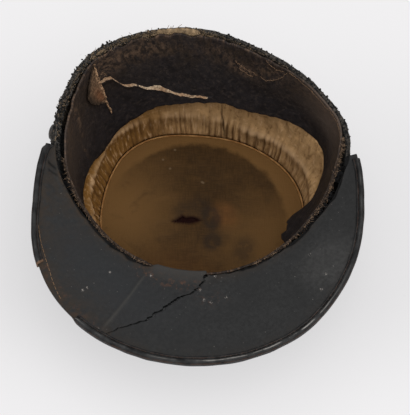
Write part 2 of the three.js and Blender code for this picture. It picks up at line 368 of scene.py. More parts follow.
class Look:
    """A procedural material. Its lengths are millimetres, measured in object coordinates."""

    def __init__(self, name):
        self.material = bpy.data.materials.new("kepi_" + name)
        self.material.use_nodes = True
        self.tree = self.material.node_tree
        self.tree.nodes.clear()
        metres = self.add("TexCoord").outputs["Object"]
        scaled = self.add("VectorMath", {"operation": "SCALE"}, {"Vector": metres, "Scale": 1 / MM})
        self.place = scaled.outputs[0]

    def add(self, kind, settings=None, inputs=None):
        """Adds a node, and sets or links its inputs, which go by name or number."""
        made = self.tree.nodes.new("ShaderNode" + kind)
        for key, value in (settings or {}).items():
            setattr(made, key, value)
        for key, value in (inputs or {}).items():
            if isinstance(value, bpy.types.NodeSocket):
                self.tree.links.new(value, made.inputs[key])
            elif made.inputs[key].type == "RGBA":
                made.inputs[key].default_value = (*value[:3], 1)
            else:
                made.inputs[key].default_value = value
        return made

    def flat(self):
        """The place on the flat sheet, in millimetres along and across."""
        return self.add("UVMap", {"uv_map": "flat"}).outputs[0]

    def mark(self, name):
        """A mask kept on the vertices."""
        return self.add("Attribute", {"attribute_name": name}).outputs["Fac"]

    def blotches(self, size, detail=3, rough=0.55, warp=0, where=None, drawn=None):
        """Blotches about that many millimetres wide, from 0 to 1, drawn out where a factor is small."""
        where = where or self.place
        if drawn:
            where = self.add("VectorMath", {"operation": "MULTIPLY"}, {0: where, 1: drawn}).outputs[0]
        inputs = {"Vector": where, "Scale": 1 / size, "Detail": detail}
        inputs.update({"Roughness": rough, "Distortion": warp})
        return self.add("TexNoise", None, inputs).outputs[0]

    def fade(self, value, low, high):
        """0 where the value is low and 1 where it is high, with a smooth step."""
        inputs = {"Value": value, "From Min": min(low, high), "From Max": max(low, high)}
        inputs.update({"To Min": float(low > high), "To Max": float(low < high)})
        return self.add("MapRange", {"interpolation_type": "SMOOTHSTEP"}, inputs).outputs[0]

    def patches(self, size, low, high, **kind):
        """Blotches that fade in from low to high."""
        return self.fade(self.blotches(size, **kind), low, high)

    def weave(self, size, detail, longer, where=None):
        """Threads both ways, that many millimetres thick, and longer where the factor is smaller."""
        warp = self.blotches(size, detail, where=where, drawn=(1, longer, 1))
        weft = self.blotches(size, detail, where=where, drawn=(longer, 1, 1))
        return self.product(warp, weft)

    def ranging(self, value, low, high):
        """From low to high, as the value goes from 0 to 1."""
        return self.add("MapRange", None, {"Value": value, "To Min": low, "To Max": high}).outputs[0]

    def product(self, a, b):
        """A mask held to where another one shows, or to a share of its own strength."""
        return self.add("Math", {"operation": "MULTIPLY", "use_clamp": True}, {0: a, 1: b}).outputs[0]

    def total(self, a, b):
        """Two masks laid together."""
        return self.add("Math", {"operation": "ADD", "use_clamp": True}, {0: a, 1: b}).outputs[0]

    def coat(self, ground, mask, colour, much=None):
        """The ground with a colour over it where the mask shows, at that share of its strength."""
        share = mask if much is None else self.product(mask, much)
        return self.add("Mix", {"data_type": "RGBA"}, {0: share, 6: ground, 7: colour}).outputs[2]

    def spots(self, points, size, soft=0.5):
        """1 inside each of these (x, y) spots, seen from above, that many millimetres across."""
        level = {0: self.place, 1: (1, 1, 0)}
        flat = self.add("VectorMath", {"operation": "MULTIPLY"}, level).outputs[0]
        found = None
        for x, y in points:
            made = self.add("VectorMath", {"operation": "DISTANCE"}, {0: flat, 1: (x, y, 0)})
            spot = self.fade(made.outputs["Value"], size / 2 * (1 + soft), size / 2 * (1 - soft))
            found = spot if found is None else self.total(found, spot)
        return found

    def surface(self, colour, rough, bumps=(), shine=0.3, sheen=0.0, glow=()):
        """Ends the material. bumps are (height, depth in millimetres), glow is (colour, strength)."""
        normal = None
        for height, depth in bumps:
            inputs = {"Height": height, "Distance": depth * MM}
            if normal:
                inputs["Normal"] = normal
            normal = self.add("Bump", None, inputs).outputs[0]
        inputs = {"Base Color": colour, "Roughness": rough, "Specular IOR Level": shine}
        inputs.update({"Sheen Weight": sheen, "Sheen Roughness": 0.6})
        if glow:
            inputs.update({"Emission Color": glow[0], "Emission Strength": glow[1]})
        if normal:
            inputs["Normal"] = normal
        skin = self.add("BsdfPrincipled", None, inputs)
        self.add("OutputMaterial", None, {"Surface": skin.outputs[0]})
        return self.material


def shade(colour, factor):
    """A darker or paler shade of a colour."""
    return tuple(min(1, c * factor) for c in colour)


def wool_look(dyes):
    """Broadcloth: wool that was milled and raised, and has since matted into small tufts."""
    look = Look("wool")
    tufts = look.blotches(2.6, detail=2)
    nap = look.blotches(0.5, rough=0.7)
    cloth = look.coat(shade(dyes.wool, 0.55), look.fade(tufts, 0.35, 0.7), shade(dyes.wool, 1.5))
    height = look.add("SeparateXYZ", None, {0: look.place}).outputs[2]
    # Pale specks are dust in the nap. They lie on the tops of the tufts, and mostly near the rim.
    near_rim = look.fade(height, 58, 98)
    tops = look.fade(tufts, 0.45, 0.55)
    specks = look.product(look.patches(1.3, 0.6, 0.7), tops)
    cloth = look.coat(cloth, look.product(specks, look.product(near_rim, 0.55)), dyes.lint)
    # Painted highlight with some dust: the wool is greyed in patches near the top of the rim, where the
    # tufts catch the light.
    grey = look.patches(1.8, 0.42, 0.62, detail=4, rough=0.7)
    dust_and_highlight = look.product(look.fade(height, 84, 94), grey)
    cloth = look.coat(cloth, dust_and_highlight, linear("#8a8278"), 0.24)
    # Painted shade: the board's inner face, seen only through the hole in the lining, is painted a reddish
    # near black for the shade down in the hole.
    cloth = look.coat(cloth, look.mark("inside"), linear("#180402"))
    bumps = [(tufts, 0.8), (nap, 0.3)]
    return look.surface(cloth, 0.95, bumps, shine=0.06, sheen=0.05)


def canvas_look(dyes):
    """Linen buckram: a coarse plain weave, stiffened with glue that has browned in patches."""
    look = Look("canvas")
    weave = look.weave(0.5, 3, 0.15, look.flat())
    glue = look.patches(6, 0.4, 0.65)
    cloth = look.coat(dyes.canvas, glue, shade(dyes.canvas, 0.5))
    cloth = look.coat(cloth, look.fade(weave, 0.3, 0.1), shade(dyes.canvas, 0.4))
    # Grease from the leather has turned it nearly black, except where it is freshly torn.
    dust = look.patches(1.6, 0.45, 0.62, detail=4, rough=0.7)
    grubby = look.coat(linear("#121110"), dust, linear("#4f453a"))
    cloth = look.coat(grubby, look.mark("clean"), cloth)
    return look.surface(cloth, 0.95, [(weave, 0.4)], shine=0.1)


def sweat_look(dyes):
    """Sheepskin, dyed black on its grain side. Sweat and rubbing have browned it near the rim."""
    look = Look("sweat_leather")
    brown = look.product(look.mark("high"), look.patches(14, 0.3, 0.6, warp=0.6))
    skin = look.coat(dyes.sweat, brown, dyes.sweat_brown)
    skin = look.coat(shade(dyes.sweat, 0.6), look.patches(4, 0.3, 0.6, detail=5), skin)
    # A fine brown mottle shows where the dye has rubbed off the tops of the grain.
    mottle = look.patches(2.8, 0.48, 0.7, detail=7, rough=0.75, warp=0.3)
    skin = look.coat(skin, mottle, shade(dyes.sweat_grey_and_lit, 0.75), 0.5)
    # The band is paler at the temples: painted light where its sides are lit, along with faded dye. Rubbed
    # places lose their dye in streaks that run down the band.
    skin = look.coat(skin, look.mark("faded"), dyes.sweat_grey_and_lit, 0.8)
    streak = look.blotches(3, detail=7, rough=0.75, where=look.flat(), drawn=(1, 0.75, 1))
    rubbed = look.product(look.mark("worn"), look.fade(streak, 0.42, 0.62))
    skin = look.coat(skin, rubbed, linear("#6a5443"), 0.85)
    # Under its raw lip, where the crack has gaped, a painted shadow darkens the leather.
    skin = look.coat(skin, look.mark("under"), linear("#0f0a07"), 0.85)
    raw = look.fade(look.mark("torn"), 0.72, 0.92)
    fibre = look.patches(0.9, 0.35, 0.6, detail=4)
    patch = look.patches(9, 0.35, 0.6, detail=2)
    tone = look.coat(shade(dyes.flesh, 0.9), patch, linear("#c8b296"))
    skin = look.coat(skin, raw, look.coat(shade(dyes.flesh, 0.45), fibre, tone))
    creases = look.blotches(5, detail=4, warp=1.2)
    grain = look.blotches(0.7)
    rough = look.ranging(creases, 0.5, 0.8)
    return look.surface(skin, rough, [(creases, 0.7), (grain, 0.12)], shine=0.17)


def flesh_look(dyes):
    """The loose, fibrous flesh side of the same skin, with painted shade along its left side and pale torn
    edges.
    """
    look = Look("flesh_leather")
    fibre = look.blotches(1.4, detail=5, rough=0.65, drawn=(1, 1, 0.35))
    skin = look.coat(shade(dyes.flesh, 0.16), look.fade(fibre, 0.35, 0.65), shade(dyes.flesh, 0.42))
    skin = look.coat(skin, look.mark("warm"), linear("#7a4c30"), 0.6)
    # Painted shade along the flap's left side, where it hangs in shadow.
    skin = look.coat(skin, look.mark("dark"), linear("#1e1915"), 0.75)
    torn = look.product(look.mark("edge"), look.patches(1.3, 0.42, 0.56))
    skin = look.coat(skin, torn, shade(dyes.flesh, 1.3))
    return look.surface(skin, 0.9, [(fibre, 0.7)], shine=0.15)


def cotton_look(dyes):
    """Plain cotton, gathered along its seam. Sweat has yellowed it, and painted shade lies in its folds."""
    look = Look("cotton")
    flat = look.flat()
    threads = look.weave(0.35, 1, 0.2, flat)
    blotch = look.blotches(11, detail=4, warp=0.5)
    cloth = look.coat(shade(dyes.cotton, 0.75), look.fade(blotch, 0.35, 0.7), dyes.cotton)
    # Painted shade makes it darker and more orange on the wearer's right.
    side = look.add("SeparateXYZ", None, {0: look.place}).outputs[0]
    cloth = look.coat(cloth, look.fade(side, 5, -55), linear("#87602f"))
    # Fine creases run down from the seam, and in no order above the ridge. They are painted with shade in
    # their hollows and a highlight on their tops.
    drawn = look.blotches(2.3, detail=4, rough=0.6, where=flat, drawn=(1, 0.16, 1))
    loose = look.blotches(5, detail=5, rough=0.6, warp=1.2)
    crease = look.coat(loose, look.total(look.product(look.mark("drawn"), 0.6), 0.4), drawn)
    cloth = look.coat(cloth, look.fade(crease, 0.5, 0.34), dyes.cotton_fold_shade, 0.62)
    cloth = look.coat(cloth, look.fade(crease, 0.52, 0.66), dyes.cotton_highlight, 0.6)
    # Painted highlight along the ridge.
    cloth = look.coat(cloth, look.mark("ridge"), dyes.cotton_highlight, 0.7)
    # Painted shade in the folds, along the seam and a little above the ridge.
    cloth = look.coat(cloth, look.mark("fold"), dyes.cotton_fold_shade, 0.9)
    cloth = look.coat(cloth, look.mark("slit"), linear("#1c120a"))
    # Small dark flecks are what is left of the threads that held it to the band.
    fleck = look.patches(2, 0.79, 0.83, detail=1)
    cloth = look.coat(cloth, fleck, linear("#2a1c10"), 0.8)
    return look.surface(cloth, 0.88, [(crease, 1.0), (threads, 0.12)], shine=0.1)


def cord_look():
    """Cotton cord in a bias strip of the lining, browned by sweat."""
    look = Look("cotton_cord")
    worn = look.patches(5, 0.35, 0.65)
    cloth = look.coat(linear("#855d35"), worn, linear("#a57d4f"))
    twist = look.blotches(0.6, detail=2)
    return look.surface(cloth, 0.85, [(twist, 0.3)], shine=0.1)


def glazed_look(dyes):
    """Glazed cotton: starched and polished, so it keeps a dull sheen where it isn't stained."""
    look = Look("glazed_cotton")
    cloud = look.blotches(16, detail=6, rough=0.6, warp=0.8)
    cloth = look.coat(shade(dyes.glazed, 0.55), look.fade(cloud, 0.3, 0.7), shade(dyes.glazed, 0.85))
    # It is darkest towards the back, and palest on the left and at the front right.
    dark = look.product(look.spots([(2, 36)], 60, soft=0.9), look.fade(cloud, 0.2, 0.6))
    cloth = look.coat(cloth, dark, shade(dyes.glazed, 0.45), 0.6)
    for middle, size, pale in (((-64, 10), 72, 1), ((54, -20), 64, 0.85)):
        washed = look.product(look.spots([middle], size, soft=0.9), look.fade(cloud, 0.1, 0.5))
        cloth = look.coat(cloth, washed, shade(dyes.glazed_edge, pale))
    warm = look.fade(look.spots([(-20, -62)], 70, soft=0.9), 0, 1)
    cloth = look.coat(cloth, warm, linear("#5c3b1c"), 0.5)
    # The unfaded edge is widest at the back right, and it ends in a wavering tide mark.
    tide = look.total(look.mark("rim"), look.product(look.blotches(7, detail=5), 0.5))
    cloth = look.coat(cloth, look.fade(tide, 0.5, 0.85), dyes.glazed_edge)
    # The threads show as fine lines both ways, and as soft streaks across. The lines stand for
    # several threads each, as single ones would be too fine to see.
    lines = look.fade(look.weave(0.9, 2, 0.12), 0.17, 0.33)
    cloth = look.coat(cloth, lines, dyes.glazed_edge, 0.13)
    streak = look.blotches(7, detail=4, drawn=(0.3, 1, 1))
    cloth = look.coat(cloth, look.fade(streak, 0.5, 0.75), dyes.glazed_edge, 0.16)
    orange = look.product(look.spots([(15, 8), (19, 3)], 13, soft=0.95), look.blotches(5, detail=4))
    cloth = look.coat(cloth, orange, linear("#7d4f28"), 0.5)
    grime = look.patches(5, 0.2, 0.55, detail=4)
    strong = [(6, 8), (8, -1), (9, 4), (7, -15), (10, -13)]
    faint = [(31, -17), (29, -24), (-12, 9), (1, 14)]
    for points, size, much in ((strong, 10, 0.62), (faint, 12, 0.45)):
        blot = look.product(look.spots(points, size, soft=0.95), grime)
        cloth = look.coat(cloth, blot, dyes.stain, much)
    pale = look.spots([(1.3, 31.4), (2.2, 30.8), (-17.7, 56.7), (-21, 42), (-26, 49)], 1.4, soft=0.9)
    cloth = look.coat(cloth, pale, linear("#86735a"), 0.4)
    # The cloth is darkened to a reddish near black round the hole.
    cloth = look.coat(cloth, look.mark("burnt"), linear("#1f0c06"), 0.9)
    rough = look.ranging(cloud, 0.5, 0.8)
    return look.surface(cloth, rough, [(cloud, 0.8), (lines, 0.06)], shine=0.08)


def peak_look(dyes):
    """Calf, dressed black and worn dull: grey where it is rubbed and brown where it is bare."""
    look = Look("peak_underside")
    cloud = look.blotches(22, detail=4, warp=0.6)
    skin = look.coat(shade(dyes.peak, 0.85), look.fade(cloud, 0.3, 0.7), shade(dyes.peak, 1.1))
    mottle = look.patches(2.2, 0.35, 0.65, detail=6, rough=0.7)
    skin = look.coat(shade(dyes.peak, 0.72), mottle, skin)
    bare = look.product(look.mark("bare"), look.patches(4.5, 0.3, 0.62, detail=5))
    skin = look.coat(skin, bare, dyes.peak_brown)
    tones = (("blue", "#2a2c2f", 0.45), ("tab", "#383634", 0.8), ("creased", "#4a4742", 0.35))
    for mark, code, much in tones:
        skin = look.coat(skin, look.mark(mark), linear(code), much)
    # Reddish scuffs are bare leather, the white ones are old polish.
    flecks = look.patches(3, 0.5, 0.64, detail=6, rough=0.7)
    rust = look.product(look.mark("rust"), flecks)
    skin = look.coat(skin, rust, dyes.rust, 0.65)
    polish = [(0.4, -81.5), (2.8, -88.3), (7.1, -89.7), (16.2, -86.4), (68, -60), (74, -84), (77, -74)]
    polish += [(-55, -71), (-71, -84), (-68, -82), (-60.7, -109), (-30, -72), (9.6, -72)]
    white = look.product(look.spots(polish, 1.5, soft=0.9), look.patches(0.8, 0.5, 0.58))
    dust = look.product(look.patches(1.1, 0.75, 0.83, detail=1), 0.5)
    skin = look.coat(skin, look.total(white, dust), linear("#9a938c"), 0.75)
    # Polish has also dried to a faint grey bloom on the right.
    bloom = look.spots([(74, -70), (84, -62)], 22, soft=0.95)
    bloom = look.product(bloom, look.blotches(2.2, detail=6))
    skin = look.coat(skin, bloom, linear("#6a6866"), 0.2)
    # Painted shade: the gap that the peak has left along the band, and the slits in its left wing, are
    # painted near black.
    skin = look.coat(skin, look.mark("gap"), linear("#050505"))
    grain = look.blotches(0.6)
    swell = look.blotches(9, warp=0.4)
    rough = look.ranging(cloud, 0.5, 0.68)
    return look.surface(skin, rough, [(swell, 0.5), (grain, 0.08)], shine=0.13)


def varnish_look(dyes):
    """Varnished leather: black and glossy, with the varnish crazed and dulled by wear."""
    look = Look("peak_leather")
    wear = look.patches(5, 0.5, 0.75, detail=5)
    skin = look.coat(dyes.varnish, wear, shade(dyes.peak, 1.1), 0.6)
    rough = look.ranging(wear, 0.28, 0.55)
    return look.surface(skin, rough, [(look.blotches(1.2, detail=4), 0.1)], shine=0.4)


def binding_look(dyes):
    """The binding's leather: as black as the peak, bare and brown in its groove and where it tore. A painted
    highlight runs along its crest, and painted shade lies in its groove.
    """
    look = Look("binding_leather")
    skin = look.coat(dyes.varnish, look.patches(6, 0.35, 0.7, detail=4), shade(dyes.peak, 0.95))
    patchy = look.patches(2.5, 0.35, 0.6, detail=4)
    # Painted shade in the groove.
    skin = look.coat(skin, look.mark("groove"), linear("#0b0a0a"), 0.8)
    holes = look.product(look.mark("bare"), patchy)
    skin = look.coat(skin, holes, shade(dyes.rust, 0.8), 0.6)
    # Painted highlight: a pale line along the crest, broken into patches.
    rubbed = look.product(look.mark("crest"), look.patches(14, 0.38, 0.62, detail=4))
    skin = look.coat(skin, rubbed, linear("#b5b1ab"), 0.9)
    raw = look.fade(look.mark("torn"), 0.4, 0.7)
    skin = look.coat(skin, raw, look.coat(shade(dyes.rust, 0.5), look.blotches(1.2), shade(dyes.flesh, 0.5)))
    return look.surface(skin, 0.5, [(look.blotches(1.5, detail=4), 0.25)], shine=0.2)


def thread_look(name, colour):
    """Linen thread or loose fibre."""
    look = Look(name)
    tone = look.coat(shade(colour, 0.5), look.blotches(2), shade(colour, 1.4))
    return look.surface(tone, 0.8, shine=0.2)


def horn_look():
    """Pressed horn: dark and half polished."""
    look = Look("button")
    cloud = look.patches(2.5, 0.35, 0.7)
    return look.surface(look.coat(linear("#15110e"), cloud, linear("#33291f")), 0.35, shine=0.5)


def table_look(dyes):
    """Opal acrylic that glows of itself, as if lit from below, so that shadows on it stay pale: painted
    light, as no lamp is under it.
    """
    look = Look("table")
    dust = look.patches(7, 0.77, 0.83, detail=1)
    tone = look.coat(dyes.table, dust, shade(dyes.table, 0.6), 0.25)
    # Painted shade: its middle is a little darker than its ends.
    _, along, _ = look.add("SeparateXYZ", None, {0: look.place}).outputs
    middle = look.product(look.fade(along, 190, 20), look.fade(along, -150, -40))
    glow = look.coat(tone, middle, shade(dyes.table, 0.75), 0.5)
    return look.surface(shade(dyes.table, 0.36), 0.9, shine=0.1, glow=(glow, 0.72))


def finish_for(name, make, *dyes):
    """The material of that name, made when it is first needed."""
    return bpy.data.materials.get("kepi_" + name) or make(*dyes)


def thread_for(name, colour):
    """The thread or fibre of that name and colour."""
    return finish_for(name, thread_look, name, colour)


# ---- The cloth outside ----

BULGE = Ripple(3, 14, 4)
FELT = Ripple(5, 110, 14)


def bulge(at, share):
    """How far the soft wall and all that is sewn to it stand out, at a share up the wall."""
    slack = 4 * share * (1 - share)
    return (0.7 + 0.6 * BULGE(at, share)) * slack * MM


def up_wall(wall, at, height):
    """The share up the wall of these heights."""
    foot, top = (wall.faces(at, np.full(len(at), s))[:, 0, 1] for s in (0.0, 1.0))
    return np.clip((height - foot) / (top - foot), 0, 1)


class KEPI_OT_crown(Operator):
    """Cloth covered board that the cap lies on"""

    bl_idname = "kepi.crown"
    bl_label = "Crown"

    def execute(self, context):
        dyes = context.scene.kepi_colours
        edge = outline("crown")
        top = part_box("crown")[1].z
        # The board's section from the middle of its lower face round to the middle of its upper one:
        # shares of its radius and of its height.
        profile = [(0, 0), (0.5, 0), (0.96, 0), (0.985, 0), (0.997, 0.18), (1, 0.4), (1, 0.62)]
        profile += [(0.997, 0.82), (0.985, 1), (0.96, 1), (0.5, 1), (0, 1)]
        steps = np.linspace(0, 1, len(profile))
        shares, heights = np.array(profile).T

        def place(along, across):
            at = along * 360
            radius = edge(at)[:, 0] * np.interp(across, steps, shares)
            return polar(at, radius, top * np.interp(across, steps, heights))

        def marks(along, across):
            """The upper face, inside the cap."""
            # This face is painted near black, as painted shade for the hole.
            return {"inside": (across > 0.8).astype(float)}

        bm = sheet((180, len(profile) - 1), place, closed=True, marks=marks, size=(460, 150))
        bmesh.ops.recalc_face_normals(bm, faces=bm.faces)
        add_piece("crown_board", bm, finish_for("wool", wool_look, dyes), ["crown"])
        return {"FINISHED"}


class KEPI_OT_cloth_sides(Operator):
    """Broadcloth wall and the band round its rim"""

    bl_idname = "kepi.cloth_sides"
    bl_label = "Cloth sides"

    def execute(self, context):
        wool = finish_for("wool", wool_look, context.scene.kepi_colours)
        wall = Form("side_wall")
        band = Form("base_band")

        def on_wall(along, across):
            at = along * 360
            return wall.place(at, across, -bulge(at, across) - 0.2 * MM * FELT(at, across))

        bm = sheet((360, 30), on_wall, closed=True, size=(500, 95))
        cloth = add_piece("wool_wall", bm, wool, ["side_wall"], wall.thick)

        ragged = Ripple(6, 170)
        matted = Ripple(7, 150, 5)

        def on_band(along, across):
            at = along * 360
            share = up_wall(wall, at, band.faces(at, across)[:, 0, 1])
            edge = ease(across, 0.8, 1)
            lumps = (0.1 + 0.4 * edge) * (1 + matted(at, across)) / 2 - 0.4 * edge
            up = across + edge * (ragged(at) - 0.8) * 0.6 * MM / band.width(at)
            return band.place(at, up, -bulge(at, share) - lumps * MM)

        bm = sheet((540, 20), on_band, closed=True, size=(550, 34))
        cloth = add_piece("wool_band", bm, wool, ["base_band"], band.thick)
        return {"FINISHED"}


class KEPI_OT_canvas(Operator):
    """Canvas stiffener, whose frayed top shows along the rim"""

    bl_idname = "kepi.canvas"
    bl_label = "Canvas"

    def execute(self, context):
        linen = finish_for("canvas", canvas_look, context.scene.kepi_colours)
        wall = Form("side_wall")
        canvas = Form("canvas_stiffener", start=0)
        ragged = Ripple(8, 420)
        tattered = Ripple(9, 60)
        # How far its top rises and folds out, and how clean it is, round the rim.
        turned = [(150, 0), (178, 0), (181, 0.8), (196, 1), (199, 0.1), (225, 0), (252, 0)]
        bare = [(150, 0), (179, 0.05), (182, 1), (196, 1), (199, 0.15), (215, 0.05), (252, 0)]

        def place(along, across):
            at = canvas.angle(along)
            share = up_wall(wall, at, canvas.faces(at, across)[:, 0, 1])
            top = ease(across, 0.85, 1)
            loss = ragged(at) * 0.6 - 1.1 * ease(tattered(at), 0.1, 0.7)
            rise = track(at, turned)
            up = across + (top * loss + ease(across, 0.86, 0.95) * rise) * MM / canvas.width(at)
            # At the back it has been folded out, over the worn top of the wool.
            over = ease(across, 0.93, 1) * rise * (1.2 + 0.6 * tattered(at + 90)) * MM
            return canvas.place(at, up, -over - bulge(at, share))

        def marks(along, across):
            at = canvas.angle(along)
            clean = track(at, bare) * (0.75 + 0.25 * ragged(at)) + 0.3 * ease(tattered(at + 50), 0.5, 0.8)
            return {"clean": np.clip(clean, 0, 1) * ease(across, 0.75, 0.95)}

        bm = sheet((400, 30), place, marks=marks, size=(185, 38))
        cloth = add_piece("canvas", bm, linen, ["canvas_stiffener"], canvas.thick)
        return {"FINISHED"}


# ---- The leather inside ----

# The sweatband's crack: its angle and its share up the band. Then, by angle too, how wide its raw
# lip is, as a factor on the usual width.
CRACK = [(150, 0.42), (168, 0.11), (176, 0.075), (186, 0.08), (191, 0.115), (196, 0.165)]
CRACK += [(198, 0.185), (203, 0.25), (207, 0.29), (211, 0.375), (214.5, 0.415), (217, 0.475)]
CRACK += [(219, 0.56), (220.5, 0.63), (223, 0.66), (226, 0.68), (245, 0.42)]
CRACK_LIP = [(172, 0), (177, 0.3), (186, 0.5), (191, 0.6), (194, 0.4), (197, 1.1), (201, 1.7)]
CRACK_LIP += [(206, 1.6), (208.5, 0.5), (210.5, 0.16), (213, 0.75), (216, 0.3), (218, 0.2), (220, 0.5)]
CRACK_LIP += [(221, 0.9), (225, 0.8), (227, 0)]
# Rubbed places: angle, share up the band, spread of each and strength.
RUBS = [(244, 0.77, 1.3, 0.2, 1), (246, 0.54, 1, 0.14, 0.8), (249, 0.28, 1, 0.12, 0.7)]
RUBS += [(161, 0.66, 5, 0.07, 1.1), (156, 0.62, 4, 0.06, 1), (203, 0.82, 14, 0.14, 0.7)]
RUBS += [(222, 0.86, 10, 0.16, 0.8), (146, 0.8, 9, 0.18, 0.45), (256, 0.85, 12, 0.2, 0.5)]
RUBS += [(172, 0.8, 10, 0.14, 0.45), (120, 0.85, 16, 0.12, 0.4)]
# How far its foot hangs below the CAD part's, in millimetres, and how far down it is torn.
HANGING = [(165, 0), (176, 2), (205, 3.5), (216, 6), (238, 7), (252, 0)]
TATTERS = [(58, 0), (61, 3), (64, 6), (68, 7), (70, 2), (75, 3), (77, 6), (82, 5), (86, 0)]


def on_sweatband(band, at, share):
    """Share and depth on the sweatband, with its buckles and its torn edges."""
    width = band.width(at) / MM
    low = 1 - share
    longer = track(at, HANGING) + track(at, TATTERS) + 0.5 * Ripple(31, 150)(at)
    share = share - low**3 * longer / width
    hang = 3.5 * ease(at, 55, 64) * (1 - ease(at, 82, 90)) * np.clip(1 - share / 0.5, 0, 2) ** 2
    buckle = Ripple(32, 26, 3)(at, share) * 0.9 * low + Ripple(33, 70, 6)(at, share) * 0.22
    worn = ease(at, 150, 185) * (1 - ease(at, 245, 262))
    notch = np.clip(Ripple(34, 110)(at), 0, 1) * (0.5 + 2.2 * worn)
    share = share - ease(share, 0.86, 1) * notch / width
    return share, (hang + buckle) * MM


class KEPI_OT_sweatband(Operator):
    """Leather sweatband with its long crack and its torn lower edge"""

    bl_idname = "kepi.sweatband"
    bl_label = "Sweatband"

    def execute(self, context):
        dyes = context.scene.kepi_colours
        sizes = context.scene.kepi_sizes
        band = Form("sweatband")
        # The crack parts the rows of the mesh, and its lip takes up one step between them.
        rows = 66
        last_low = 27 / rows
        first_high = 28 / rows
        parting = (last_low + first_high) / 2
        closed = 0.02 * MM
        jagged = Ripple(35, 300)
        wavering = Ripple(36, 90)

        def crack(at):
            """The share of the crack's lower side, the width of its lip and its strength."""
            lip = track(at, CRACK_LIP)
            share = track(at, CRACK) + (0.004 * jagged(at) + 0.01 * wavering(at)) * (lip > 0)
            wide = 1 + 0.25 * jagged(at + 90) + 0.4 * wavering(at + 90)
            return share, lip * sizes.lip * wide, ease(lip, 0, 0.3)

        def shares(along, across):
            """The angle and the share up the band, with the crack's rows drawn apart."""
            at = along * 360
            split, lip, _ = crack(at)
            upper = split + np.maximum(lip, closed) / band.width(at)
            low = across / last_low * split
            high = upper + (across - first_high) / (1 - first_high) * (1 - upper)
            return at, np.where(across < parting, low, high)

        def place(along, across):
            at, share = shares(along, across)
            split, _, strength = crack(at)
            below = np.where(across < parting, split - share, 1)
            ledge = strength * 1.1 * MM * bell(below * 50, 0, 9)
            share, depth = on_sweatband(band, at, share)
            return band.place(at, share, band.thick + depth + ledge)

        def marks(along, across):
            at, share = shares(along, across)
            _, _, strength = crack(at)
            # The lip is raw between the two rows that bound it, with a painted shadow a row or two below.
            lip = (np.abs(across - parting) < 0.6 / rows) * strength
            rows_up = (across - last_low) * rows
            under = bell(rows_up, -1.6, 0.9) * strength
            rim = bell(share, 1, 0.025) * 0.8 * ease(jagged(at * 3), -0.3, 0.6)
            high = ease(share, 0.25, 0.75)
            # Painted light with faded dye: the band is paler at the temples, where its sides are lit.
            faded = bell(at, 112, 16) * ease(share, 0.2, 0.7) + 0.5 * bell(at, 262, 22) * ease(share, 0, 0.5)
            found = {"torn": lip, "under": under, "high": high, "faded": faded}
            found["worn"] = np.clip(blots(at, share, RUBS) + rim, 0, 1)
            return found

        bm = sheet((720, rows), place, closed=True, flip=True, marks=marks, size=(520, 50))
        leather = finish_for("sweat_leather", sweat_look, dyes)
        add_piece("sweat_leather", bm, leather, ["sweatband"], band.thick)
        return {"FINISHED"}


class KEPI_OT_torn_flap(Operator):
    """Tongue of leather that has peeled off the sweatband and hangs from its top"""

    bl_idname = "kepi.torn_flap"
    bl_label = "Torn flap"

    def execute(self, context):
        band = Form("sweatband")
        # Share up the band, the angles of its two edges, and how many millimetres it stands off.
        cut = [(0.99, 226.2, 225.6, 0.3), (0.95, 228.4, 226, 0.6), (0.9, 230.9, 226.3, 0.9)]
        cut += [(0.84, 233.6, 226.4, 1.2), (0.76, 235.8, 226.4, 1.5), (0.68, 235.4, 226.3, 1.8)]
        cut += [(0.62, 234.2, 226.2, 2), (0.56, 232.8, 226.2, 2), (0.5, 230.8, 226.3, 1.8)]
        cut += [(0.46, 228.6, 226.4, 1.6), (0.42, 227.3, 226.5, 1.4), (0.32, 226.8, 226.2, 1.2)]
        cut += [(0.22, 226.4, 226, 0.8)]
        share, left, right, off = np.array(cut).T
        steps = np.linspace(0, 1, len(cut))
        ragged = Ripple(41, 6, 60)

        def place(along, across):
            level, start, end, away = (np.interp(across, steps, v) for v in (share, left, right, off))
            edge = np.abs(along - 0.5) * 2
            wander = ragged(along * 180, across) * 0.35 * edge
            curl = edge**3 * 0.9 + 0.5 * ragged(along * 90, across)
            return band.place(between(start, end, along) + wander, level, band.thick + (away + curl) * MM)

        def marks(along, across):
            edge = ease(along, 0.8, 0.98) + ease(across, 0.74, 0.84)
            warm = bell(along, 0.62, 0.3) * bell(across, 0.55, 0.16)
            # The flap's dark left side is painted shade.
            return {"edge": np.clip(edge, 0, 1), "dark": 1 - ease(along, 0.05, 0.45), "warm": warm}

        bm = sheet((18, 70), place, marks=marks, size=(8, 30))
        bmesh.ops.recalc_face_normals(bm, faces=bm.faces)
        leather = finish_for("flesh_leather", flesh_look, context.scene.kepi_colours)
        add_piece("peeled_flap", bm, leather, ["torn_flap"], 0.7 * MM)
        return {"FINISHED"}


# ---- The linings ----


